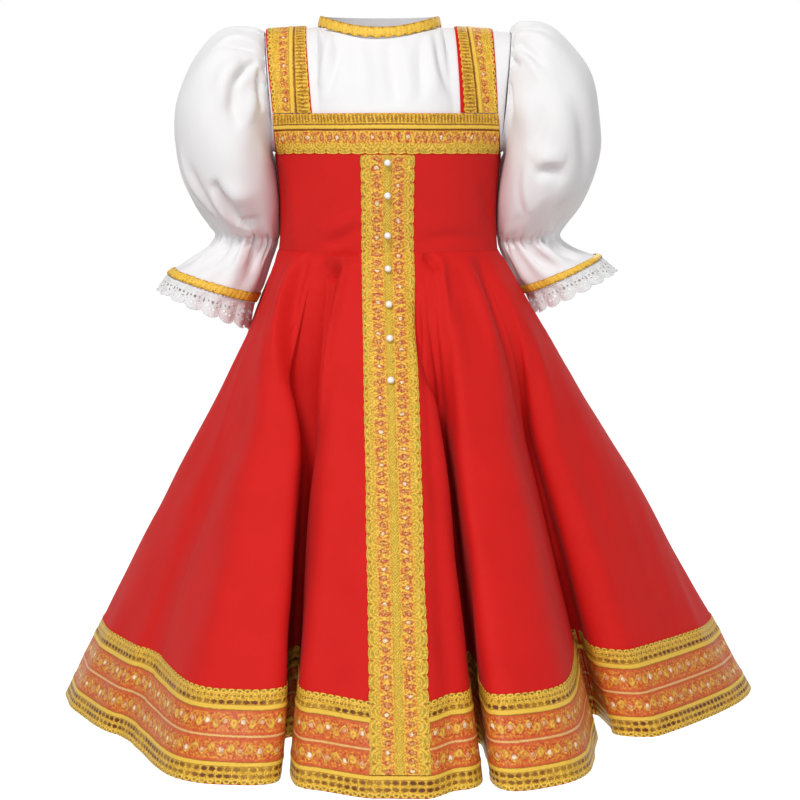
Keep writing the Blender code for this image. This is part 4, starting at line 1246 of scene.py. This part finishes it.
TOP_RISES = {back: rises_to(back, BODICE_TOP_Z) for back in (False, True)}
BRAID_RISE = rises_to(False, BODICE_TOP_Z - CHEST_BRAID_DEPTH)
EDGE_ANGLE = 89.93
ARMHOLE_CORNER_ANGLE = 7.0

# How high a knobbly braid's knobs rise, and how far they swell its edge
KNOBS = {"neck_braid": (0.0011, 0.0016), "cuff_braid": (0.0008, 0.0006)}
# What each trim's lower and upper edges are cut to, and how deep
TRIM_EDGES = {
    "hem_braid_lower": ("picots", None),
    "hem_braid_upper": (None, "picots"),
    "chest_braid": (None, "picots"),
    "chest_band": ("scallops", None),
    "center_band": ("scallops", "scallops"),
    "strap_braid": ("picots", "picots"),
    "cuff_braid": ("picots", None),
}
EDGE_DEPTHS = {"picots": 0.0012, "scallops": 0.0017}
# How far apart each trim's columns are
SPACINGS = {
    "hem_braid_lower": 0.0021,
    "hem_ribbon": 0.0035,
    "hem_braid_upper": 0.0021,
    "chest_band": 0.00183,
    "chest_braid": 0.00164,
    "center_band": 0.00183,
    "strap_braid": 0.00205,
    "neck_braid": 0.0018,
    "cuff_braid": 0.0016,
}
# Where rows of points lie inside a strip of each kind, as shares of its width, and how far inside the trim's
# edges
STRIP_ROWS = {
    "cord": (0.12, 0.3, 0.5, 0.7, 0.88),
    "bumps": (0.07, 0.3, 0.42, 0.5, 0.58, 0.7, 0.93),
    "line": (0.25, 0.75),
    "rib": (0.25, 0.5, 0.75),
}
EDGE_ROW = 2.2
WIDE_STRIP = 12
# How high a strip's middle stands, and the power of its roundness
STRIP_SWELLS = {"cord": (0.0006, 0.5), "line": (0.00025, 1), "rib": (0.00025, 1), "groove": (-0.0002, 1)}


def notched(kind, x):
    """How far a trim's edge is cut back between its scallops or picots, at a distance along it."""
    if kind is None:
        return 0 * x
    across = ((x / (PITCHES[kind] / 1000)) % 1.0 - 0.5) * 2
    return EDGE_DEPTHS[kind] * (1 - np.sqrt(np.clip(1 - across**2, 0, 1)))


def trim_rows(strips):
    """Where a trim's rows lie, in millimetres across it: at both ends of each strip and inside it."""
    rows, start = [0.0, EDGE_ROW], 0.0
    for kind, width in strips:
        places = STRIP_ROWS.get(kind, (0.5,) if width < WIDE_STRIP else (0.33, 0.66))
        rows += [start + width * place for place in (*places, 1.0)]
        start += width
    return np.unique(np.round(rows + [start - EDGE_ROW], 3))


def trim_relief(strips, y):
    """How a trim's face rises and falls across it."""
    relief, start = 0 * y, 0.0
    for kind, width in strips:
        place = (y - start) / width * 2 - 1
        if kind in STRIP_SWELLS:
            height, power = STRIP_SWELLS[kind]
            relief = np.where(np.abs(place) <= 1, height * np.clip(1 - place**2, 0, 1) ** power, relief)
        start += width
    return relief


DENSE_COUNT = 3000


def trim(node, kind, place, start, stop, skins=TRIM_SKINS, closed=False, lining=None):
    """A trim on a surface. place(along, across, height) puts a point, and across runs from 0 to 1."""
    dense = np.linspace(start, stop, DENSE_COUNT)
    reach = lengths(place(dense, 0.5, skins[1]))
    count = round(reach[-1] / SPACINGS[kind])
    x = np.arange(count + 1) * reach[-1] / count
    along = np.interp(x, reach, dense)
    strips = TRIMS[kind]
    y = trim_rows(strips)[:, None] + 0 * x
    low, high = TRIM_EDGES.get(kind, (None, None))
    y[0] += 1000 * notched(low, x)
    y[-1] -= 1000 * notched(high, x)
    uv = np.stack([np.broadcast_to(x, y.shape), y / 1000], axis=-1)
    if closed:
        along, x, y = along[:-1], x[:-1], y[:, :-1]
    width = sum(size for _, size in strips)
    relief = trim_relief(strips, y)
    if kind in KNOBS:
        round_height, edge_depth = KNOBS[kind]
        across, phase = y / width * 2 - 1, math.pi * 2 * x * 1000 / PITCHES["bumps"]
        relief = round_height * np.sqrt(np.clip(1 - across**2, 0, 1)) * (0.85 + 0.15 * np.cos(2 * phase))
        y = y + 1000 * edge_depth * (0.5 + 0.5 * np.cos(phase)) * np.clip(-across, 0, 1) ** 2
    outer, inner = (place(along[None], y / width, skin) for skin in (skins[1] + relief, skins[0]))
    wall(f"{node}_trim", outer, inner, uv, kind, node, closed, lining)


def strap_at(side, turn, angle, height):
    """A point over a strap. turn is 0 at the front's top edge, 1 on the shoulder and 2 at the back's edge."""
    turn, angle = floats(turn, angle)
    angle = angle * side
    front_top, back_top = TOP_RISES[False](angle), TOP_RISES[True](angle)
    front = torso_at(angle, front_top + (2 - front_top) * np.clip(turn, 0, 1), height)
    back = torso_at(angle, 2 - (2 - back_top) * np.clip(turn - 1, 0, 1), height, back=True)
    return np.where(turn[..., None] <= 1, front, back)


def neck_at(turn, across, height):
    """A point on the neck braid, which leans in as it rises. turn runs 140 round it, from its left end."""
    turn, across = floats(turn, across)
    turn = turn % (4 * NECK_ANGLE)
    behind = turn > 2 * NECK_ANGLE
    angle = np.where(behind, 3 * NECK_ANGLE - turn, turn - NECK_ANGLE)
    edge = np.where(behind[..., None], crown(angle, True), crown(angle, False))
    sideways = (edge[..., 0] - SHOULDER["shift"][0]) / NECK_HALF_WIDTH**2
    outward = unit(stacked(sideways, edge[..., 1] / NECK_FRONT_DEPTH**2, 0.0))
    upward = unit(np.array((0, 0, 1.0)) - NECK_BRAID_LEAN * outward)
    rise = SEAM_GAP + (NECK_BRAID_WIDTH - SEAM_GAP) * across
    return edge + upward * rise[..., None] + outward * (0 * rise + height)[..., None]


# Blouse and bodice. The blouse's rows are finer above the chest
BLOUSE_COLUMNS = 161
BLOUSE_RISES = np.append(np.linspace(0.001, 1.25, 16)[:-1], np.linspace(1.25, 1.998, 60))[:, None]
BODICE_COLUMNS = 131
BODICE_ROWS = 57
BODICE_BOTTOM = 0.0003
BODICE_TOP_GAP = 0.0018
for face, back in (("front", False), ("back", True)):
    surface, top = partial(torso_at, back=back), TOP_RISES[back]
    right = -EDGE_ANGLE if back else EDGE_ANGLE
    angles = np.linspace(-right, right, BLOUSE_COLUMNS)[None]
    panel(f"blouse_{face}", surface, angles, BLOUSE_RISES, BLOUSE_SKINS, "left right", "white_cotton")
    angles = np.linspace(-right, right, BODICE_COLUMNS)[None]
    corner = smooth((np.abs(angles) - STRAP_OUTER) / ARMHOLE_CORNER_ANGLE)
    reach = top(angles) + (1 - top(angles)) * corner - BODICE_TOP_GAP
    rises = BODICE_BOTTOM + reach * np.linspace(0, 1, BODICE_ROWS)[:, None]
    panel(f"bodice_{face}", surface, angles, rises, RED_SKINS, "left right", "red_cloth")

# Straps and their braids. The braid covers the viewer's left strap up to its inner edge
STRAP_TURNS = (0.004, 1.996)
STRAP_WIDTH = 0.038
BRAID_INNER_MARGINS = {-1: 0.1, 1: 1.6}
for side_name, side in SIDE_NAMES:
    across = np.linspace(STRAP_INNER, STRAP_OUTER, 13)[None] * side
    turns = np.linspace(*STRAP_TURNS, 121)[:, None]

    def surface(angle, turn, height):
        return strap_at(side, turn, angle * side, height)

    panel(f"strap_{side_name}", surface, across[:, ::side], turns, RED_SKINS, "", "red_cloth")
    margin = STRAP_BRAID_MARGIN / STRAP_WIDTH * (STRAP_OUTER - STRAP_INNER)
    outer, inner = STRAP_OUTER - margin, STRAP_INNER + margin * BRAID_INNER_MARGINS[side]

    def braid_at(turn, across, height):
        return strap_at(side, turn, outer + (inner - outer) * across, height)

    trim(f"strap_braid_{side_name}", "strap_braid", braid_at, *STRAP_TURNS[::side])


# Chest trims, a little inside the rises that each lies between
CHEST_TRIM_INSET = 0.01
for name, low_rise, high_rise in (
    ("chest_braid", BRAID_RISE, TOP_RISES[False]),
    ("chest_band", np.ones_like, BRAID_RISE),
):

    def chest_at(angle, across, height):
        low, high = low_rise(angle), high_rise(angle)
        share = CHEST_TRIM_INSET + (1 - 2 * CHEST_TRIM_INSET) * across
        return torso_at(angle, low + (high - low) * share, height)

    trim(name, name, chest_at, -STRAP_OUTER, STRAP_OUTER)

# Neck braid
NECK_TURNS = (3 * NECK_ANGLE, 7 * NECK_ANGLE)
NECK_SKINS = (-NECK_BRAID_THICKNESS, -0.0004)
trim("neck_braid", "neck_braid", neck_at, *NECK_TURNS, NECK_SKINS, closed=True, lining="white_cotton")

# Skirt, its stations spaced evenly along the hem
STATIONS = len(HEM_POINTS)
DENSE_STATIONS = np.linspace(0, 2 * STATIONS, 8001)
HEM_REACH = lengths(skirt(DENSE_STATIONS, 1.0))
FIRSTS = np.cumsum(np.append(0, FOLDS["points"])).astype(int)
MIDDLES = {waist: FIRSTS[row] + (FOLDS["points"][row] - 1) / 2 for row, waist in enumerate(FOLDS["waist"])}
CENTER = MIDDLES[0]


def even_stations(start, stop, count):
    reach = np.interp([start, stop], DENSE_STATIONS, HEM_REACH)
    return np.interp(np.linspace(*reach, count), HEM_REACH, DENSE_STATIONS)


def slant(station):
    waist, hem, _ = skirt_ends(station)
    return np.linalg.norm(hem - waist, axis=-1)


SEAM_STATIONS = (MIDDLES[-180], MIDDLES[-90], MIDDLES[0], MIDDLES[90], MIDDLES[-180] + STATIONS)
SKIRT_SEAM = 0.0001
SKIRT_COLUMNS = 131
SKIRT_NODES = ("skirt_back_left", "skirt_front_left", "skirt_front_right", "skirt_back_right")
FALLS = np.concatenate([np.linspace(1, 0.3, 50)[:-1], np.linspace(0.3, 0.0002, 42)])[:, None]
for name, start, stop in zip(SKIRT_NODES, SEAM_STATIONS[:-1], SEAM_STATIONS[1:]):
    stations = even_stations(start + SKIRT_SEAM, stop - SKIRT_SEAM, SKIRT_COLUMNS)[None]
    panel(name, skirt_at, stations, FALLS, RED_SKINS, "left right", "red_cloth")

# The hem's trims: how far each one's lower and upper edge is from the hem
for name, low, high in (
    ("hem_braid_lower", 0.0, 0.0219),
    ("hem_ribbon", 0.0221, 0.0729),
    ("hem_braid_upper", 0.0731, 0.0950),
):

    def hem_at(station, across, height):
        return skirt_at(station, 1 - (low + (high - low) * across) / slant(station), height)

    trim(name, name, hem_at, SEAM_STATIONS[0], SEAM_STATIONS[-1], closed=True)

# Center band, down the bodice and then the skirt, over the hem's upper trims
BAND_TOP_RISE = 0.995
# How far above the hem trims the band starts to climb over them, and how long its climb is
BAND_CLIMB_START = 0.010
BAND_CLIMB = 0.008


def band_at(level, across, height):
    """A point on the band. level is 1 at the chest band, 0 at the waist and -1 at the lower hem braid."""
    level, across = floats(level, across)
    chest = torso_at(BAND_EDGE * (2 * across - 1), np.clip(level, 0, 1) * BAND_TOP_RISE, height)
    station = CENTER + BAND_HALF_COLUMNS * (2 * across - 1)
    length = slant(station)
    up = HEM_LINES[1] + (length - HEM_LINES[1]) * (1 - np.clip(-level, 0, 1))
    over = (OVER_TRIM_SKINS[0] - TRIM_SKINS[0]) * smooth((HEM_LINES[3] + BAND_CLIMB_START - up) / BAND_CLIMB)
    lower = skirt_at(station, 1 - up / length, height + over)
    return np.where(level[..., None] >= 0, chest, lower)


trim("center_band", "center_band", band_at, 1, -1)

# Sleeves and cuff braids
SLEEVE_TURNS = 220
RING_STEPS = (np.linspace(0, 2, 21)[:-1], np.linspace(2, 6.5, 27)[:-1], np.linspace(6.5, 12, 47))
RINGS = np.concatenate(RING_STEPS)[:, None]
CUFF_BRAID_END = CUFF_EDGE_RING - 0.01
for side_name, side in SIDE_NAMES:
    turns = np.arange(SLEEVE_TURNS)[None] * 360 / SLEEVE_TURNS * side
    surface = partial(sleeve_at, side)
    panel(f"sleeve_{side_name}", surface, turns, RINGS, BLOUSE_SKINS, "top", "white_cotton", closed=True)

    def cuff_at(turn, across, height):
        return sleeve_at(side, turn, CUFF_BRAID_START + (CUFF_BRAID_END - CUFF_BRAID_START) * across, height)

    trim(f"cuff_braid_{side_name}", "cuff_braid", cuff_at, 0, 360 * side, CUFF_BRAID_SKINS, closed=True)

# Cotton lace, flat: one scallop, from 0 to 1 across and from 0 at its seam to 1 at its edge
SCALLOPS = 8
LACE_CELLS = (22, 28)
LACE_TOP = 0.03
LACE_NOTCH = 0.72
LACE_MARGIN = 0.15
LACE_SCALE = np.array((0.019, 0.024))
LACE_HOLES = table(
    "across depth half_width half_depth",
    (0.5, 0.42, 0.1, 0.08),
    (0.25, 0.4, 0.065, 0.06),
    (0.75, 0.4, 0.065, 0.06),
    (0.22, 0.6, 0.07, 0.06),
    (0.78, 0.6, 0.07, 0.06),
    (0.39, 0.7, 0.065, 0.055),
    (0.61, 0.7, 0.065, 0.055),
    (0.5, 0.22, 0.06, 0.045),
    (0.0, 0.44, 0.06, 0.12),
    (1.0, 0.44, 0.06, 0.12),
)
LACE_SWELL = 0.0022
LACE_TOP_FADE = 0.35
LACE_END_FADE = 0.3
LACE_CORD_RISE = 1.15
# The thickness of its raised threads: round its holes, along its edge, in its two rows and in its picots
HOLE_CORD = 0.000357
EDGE_CORD = 0.00062
ROW_CORD = 0.000336
PICOT_CORD = 0.000315
LACE_ROWS = (0.06, 0.205)
LACE_END = 0.012
# The picots along its edge: how many a scallop has, then how far out each one's middle is, and its half
# width and depth
LACE_PICOTS = 7
PICOT = (0.022, 0.036, 0.030)


def lace_edge(across):
    """How deep the lace hangs, as round scallops."""
    place = (across % 1.0 - 0.5) * 2
    return LACE_NOTCH + (1 - LACE_NOTCH) * np.sqrt(np.clip(1 - np.abs(place) ** 2.2, 0, 1))


def to_corners(cells):
    """For each corner of a grid, the largest value of the cells that meet there."""
    cells = np.pad(cells, 1)
    return np.maximum(np.maximum(cells[:-1, :-1], cells[:-1, 1:]), np.maximum(cells[1:, :-1], cells[1:, 1:]))


def lace_sheet():
    """Points and cells of one half's net, with its holes cut through and their edges drawn round."""
    wide, deep = LACE_CELLS
    a, d = np.meshgrid(np.linspace(0, SCALLOPS, wide * SCALLOPS + 1), np.linspace(LACE_TOP, 1.0, deep + 1))
    middle_a, middle_d = ((m[:-1, :-1] + m[1:, 1:]) / 2 for m in (a, d))
    past_edge = middle_d >= lace_edge(middle_a)
    hole_at = np.zeros(past_edge.shape, int)
    holes = list(enumerate(rows_of(LACE_HOLES), start=1))
    for number, hole in holes:
        size = ((middle_a % 1.0 - hole["across"]) / hole["half_width"]) ** 2
        size = size + ((middle_d - hole["depth"]) / hole["half_depth"]) ** 2
        hole_at[size < 1] = number
    keep = ~past_edge & (hole_at == 0)
    around, touched = to_corners(hole_at), to_corners(keep)
    for number, hole in holes:
        here = (around == number) & touched
        base = np.floor(a[here] - hole["across"] + 0.5)
        da, dd = a[here] - base - hole["across"], d[here] - hole["depth"]
        size = np.maximum(np.sqrt((da / hole["half_width"]) ** 2 + (dd / hole["half_depth"]) ** 2), 0.2)
        inside = (a[here] > 1e-6) & (a[here] < SCALLOPS - 1e-6)
        a[here] = np.where(inside, base + hole["across"] + da / size, a[here])
        d[here] = hole["depth"] + dd / size
    here = to_corners(past_edge) & touched & (around == 0)
    d[here] = lace_edge(a[here])
    return a, d, keep


def circle(count):
    """Points round a unit circle, as cosines and sines."""
    turn = np.arange(count) * 2 * math.pi / count
    return np.cos(turn), np.sin(turn)


def ellipse(across, depth, half_width, half_depth, count):
    cosines, sines = circle(count)
    return np.stack([across + half_width * cosines, depth + half_depth * sines], axis=-1)


def tube(path, radius, closed, sides):
    """Points round a flat path, each as across, depth and height, and the faces between them."""
    line = path * LACE_SCALE
    step = np.roll(line, -1, axis=0) - np.roll(line, 1, axis=0) if closed else np.gradient(line, axis=0)
    step = step / np.maximum(np.linalg.norm(step, axis=1, keepdims=True), 1e-9)
    beside = np.stack([step[:, 1], -step[:, 0]], axis=-1)
    cosines, sines = circle(sides)
    flat = line[:, None] + beside[:, None] * radius * cosines[None, :, None]
    height = np.broadcast_to(radius * sines, flat.shape[:2])
    points = np.concatenate([flat / LACE_SCALE, height[..., None]], axis=-1).reshape(-1, 3)
    count, around = len(path), [(s, (s + 1) % sides) for s in range(sides)]
    faces = []
    for k in range(count if closed else count - 1):
        here, after = k * sides, (k + 1) % count * sides
        faces += [(here + s, here + t, after + t, after + s) for s, t in around]
    if not closed:
        faces += [tuple(range(sides))[::-1], tuple((count - 1) * sides + s for s in range(sides))]
    return points, faces


def lace_cords():
    """The raised threads round a half's holes and along its edge."""
    parts = []
    for scallop in range(SCALLOPS + 1):
        for hole in rows_of(LACE_HOLES):
            middle = scallop + hole["across"]
            if hole["across"] == 1.0 or not LACE_END < middle < SCALLOPS - LACE_END:
                continue
            ring = ellipse(middle, hole["depth"], hole["half_width"], hole["half_depth"], 10)
            parts.append(tube(ring, HOLE_CORD, True, 4))
    across = np.linspace(LACE_END, SCALLOPS - LACE_END, SCALLOPS * LACE_CELLS[0] + 1)
    parts.append(tube(np.stack([across, lace_edge(across)], axis=-1), EDGE_CORD, False, 6))
    for depth in LACE_ROWS:
        parts.append(tube(np.stack([across, 0 * across + depth], axis=-1)[::2], ROW_CORD, False, 4))
    out, half_width, half_depth = PICOT
    for picot in range(SCALLOPS * LACE_PICOTS):
        place = (picot + 0.5) / LACE_PICOTS
        ring = ellipse(place, lace_edge(np.array(place)) + out, half_width, half_depth, 7)
        parts.append(tube(ring, PICOT_CORD, True, 4))
    return parts


LACE_FLAT = lace_sheet()
LACE_PARTS = lace_cords()


def lace_piece(name, side, start):
    def place(a, d, height):
        turn = start + LACE_MARGIN + (180 - 2 * LACE_MARGIN) * a / SCALLOPS
        ends = smooth(a / LACE_END_FADE) * smooth((SCALLOPS - a) / LACE_END_FADE)
        groove = np.abs(np.cos(math.pi * a)) ** 3 * smooth(d / LACE_TOP_FADE) * ends
        return sleeve_at(side, turn, CUFF_EDGE_RING + d, height - LACE_SWELL * groove)

    a, d, keep = LACE_FLAT
    count, columns = a.size, a.shape[1]
    row, column = np.nonzero(keep)
    index = row * columns + column
    quads = np.stack([index, index + 1, index + columns + 1, index + columns], axis=-1)
    edges = dict.fromkeys((quad[k - 1], quad[k]) for quad in quads.tolist() for k in range(4))
    faces = quads.tolist() + (quads[:, ::-1] + count).tolist()
    faces += [(q, p, p + count, q + count) for p, q in edges if (q, p) not in edges]
    points = [place(a, d, skin).reshape(-1, 3) for skin in LACE_SKINS[::-1]]
    places = [np.stack([a, d], axis=-1).reshape(-1, 2)] * 2
    total, middle = 2 * count, sum(LACE_SKINS) / 2
    for cord, cord_faces in LACE_PARTS:
        points.append(place(cord[:, 0], cord[:, 1], middle + cord[:, 2] * LACE_CORD_RISE))
        places.append(cord[:, :2])
        faces += [tuple(index + total for index in face) for face in cord_faces]
        total += len(cord)
    corners, faces_of = np.concatenate(faces), np.cumsum([0] + [len(face) for face in faces])
    used, corners = np.unique(corners, return_inverse=True)
    faces = [corners[first:last].tolist()[::side] for first, last in zip(faces_of[:-1], faces_of[1:])]
    places = np.concatenate(places)[used] * LACE_SCALE
    corners = np.concatenate(faces)
    add_piece(f"{name}_net", name, "white_lace", np.concatenate(points)[used], faces, places[corners])


for side_name, side in SIDE_NAMES:
    for half_name, start in (("front", 0.0), ("back", 180.0)):
        lace_piece(f"cuff_lace_{side_name}_{half_name}", side, start)

BEAD_RINGS = 18
BEAD_SIDES = 24
BEAD_HOLE = 0.13
BEAD_DIP = (0.07, 0.80)
BEAD_FLAT = 0.93
BEAD_SEAT = 0.95


def bead(name, point, outward, up):
    """A pearl bead, drilled down its length and sewn on, a little flatter towards the cloth."""
    polar = np.linspace(BEAD_HOLE, math.pi - BEAD_HOLE, BEAD_RINGS)
    radius = np.concatenate([[BEAD_DIP[0]], np.sin(polar), [BEAD_DIP[0]]])[:, None, None]
    height = np.concatenate([[BEAD_DIP[1]], np.cos(polar), [-BEAD_DIP[1]]])[:, None, None]
    cosines, sines = circle(BEAD_SIDES)
    cosines = np.where(cosines < 0, BEAD_FLAT, 1.0) * cosines
    ring = outward * cosines[:, None] + np.cross(up, outward) * sines[:, None]
    points = (point + PEARL_RADIUS * (ring * radius + up * height)).reshape(-1, 3)
    count = len(radius)
    turns = [(s, (s + 1) % BEAD_SIDES) for s in range(BEAD_SIDES)]
    faces = []
    for here in range(0, (count - 1) * BEAD_SIDES, BEAD_SIDES):
        faces += [(here + s, here + BEAD_SIDES + s, here + BEAD_SIDES + t, here + t) for s, t in turns]
    faces += [tuple(range(BEAD_SIDES)), tuple(range((count - 1) * BEAD_SIDES, count * BEAD_SIDES))[::-1]]
    corners = np.concatenate(faces)
    places = np.stack([corners % BEAD_SIDES * 0.001, corners // BEAD_SIDES * 0.0006], axis=-1)
    add_piece(f"{name}_bead", name, "pearl", points, faces, places)


for number, level in enumerate(PEARL_LEVELS, start=1):
    if level > WAIST_Z:
        place = (level - WAIST_Z) / (UNDERARM_Z - WAIST_Z)
    else:
        fall = (level - WAIST_Z) / (HEM_Z - WAIST_Z)
        length = float(slant(np.array(CENTER)))
        place = -(1 - (length * (1 - fall) - HEM_LINES[1]) / (length - HEM_LINES[1]))
    base, above = band_at(place, 0.5, TRIM_SKINS[1]), band_at(place, 0.5, TRIM_SKINS[1] + 0.001)
    along = unit(band_at(place + 0.01, 0.5, 0.0) - band_at(place - 0.01, 0.5, 0.0))
    outward = unit(above - base)
    outward = unit(outward - along * float(outward @ along))
    bead(f"pearl_{number}", base + outward * PEARL_RADIUS * BEAD_SEAT, outward, along)

# Camera, light and floor
CAMERA_PITCH = 7.3
STAGE = bpy.context.scene.collection.objects
camera_data = bpy.data.cameras.new("camera")
camera_data.lens, camera_data.sensor_width = 94.5, 36.0
camera = bpy.data.objects.new("camera", camera_data)
camera.location = (0.0131, -2.32, -0.1145)
camera.rotation_euler = (math.radians(90 - CAMERA_PITCH), 0.0, 0.0)
STAGE.link(camera)
bpy.context.scene.camera = camera

FLOOR_Z = -1.05
FLOOR_REACH = 30.0
FLOOR_GLOW = 0.82
floor_mesh = bpy.data.meshes.new("floor")
floor_corners = [(x * FLOOR_REACH, y * FLOOR_REACH, FLOOR_Z) for x, y in ((-1, -1), (1, -1), (1, 1), (-1, 1))]
floor_mesh.from_pydata(floor_corners, [], [(0, 1, 2, 3)])
floor_material = bpy.data.materials.new("floor")
floor_material.use_nodes = True
floor_inputs = floor_material.node_tree.nodes["Principled BSDF"].inputs
for name, value in (
    ("Base Color", (0.45, 0.45, 0.45, 1.0)),
    ("Roughness", 1.0),
    ("Specular IOR Level", 0.0),
    ("Emission Color", (1.0, 1.0, 1.0, 1.0)),
    ("Emission Strength", FLOOR_GLOW),
):
    floor_inputs[name].default_value = value
floor_mesh.materials.append(floor_material)
floor = bpy.data.objects.new("floor", floor_mesh)
floor.visible_diffuse = False
STAGE.link(floor)


# Each light's place, the height on the dress that it points at, its size and its power
for name, place, aim, size, power in (
    ("key", (-1.0, -2.3, 2.1), -0.3, 0.8, 64.0),
    ("bounce", (0.0, -1.9, -1.7), -0.2, 1.8, 13.0),
    ("fill", (1.6, -2.7, 0.2), -0.35, 1.8, 10.0),
    ("back", (0.9, 2.7, 1.0), -0.3, 1.8, 30.0),
):
    light = bpy.data.lights.new(name, "AREA")
    light.size, light.energy = size, power
    lamp = bpy.data.objects.new(name, light)
    lamp.location = place
    x, y, z = place
    lamp.rotation_euler = (math.atan2(math.hypot(x, y), z - aim), 0.0, math.atan2(-y, -x) - math.pi / 2)
    STAGE.link(lamp)

# The world lights the dress less than it shows behind it
WORLD_STRENGTH = 0.52
world = bpy.data.worlds.new("studio")
bpy.context.scene.world = world
world.use_nodes = True
nodes, links = world.node_tree.nodes, world.node_tree.links
backdrop = nodes.new("ShaderNodeBackground")
for background, strength in ((nodes["Background"], WORLD_STRENGTH), (backdrop, 1.0)):
    background.inputs["Strength"].default_value = strength
    background.inputs["Color"].default_value = (1.0, 1.0, 1.0, 1.0)
both, rays = nodes.new("ShaderNodeMixShader"), nodes.new("ShaderNodeLightPath")
links.new(rays.outputs["Is Camera Ray"], both.inputs[0])
links.new(nodes["Background"].outputs[0], both.inputs[1])
links.new(backdrop.outputs[0], both.inputs[2])
links.new(both.outputs[0], nodes["World Output"].inputs["Surface"])
bpy.context.scene.view_settings.view_transform = "Standard"
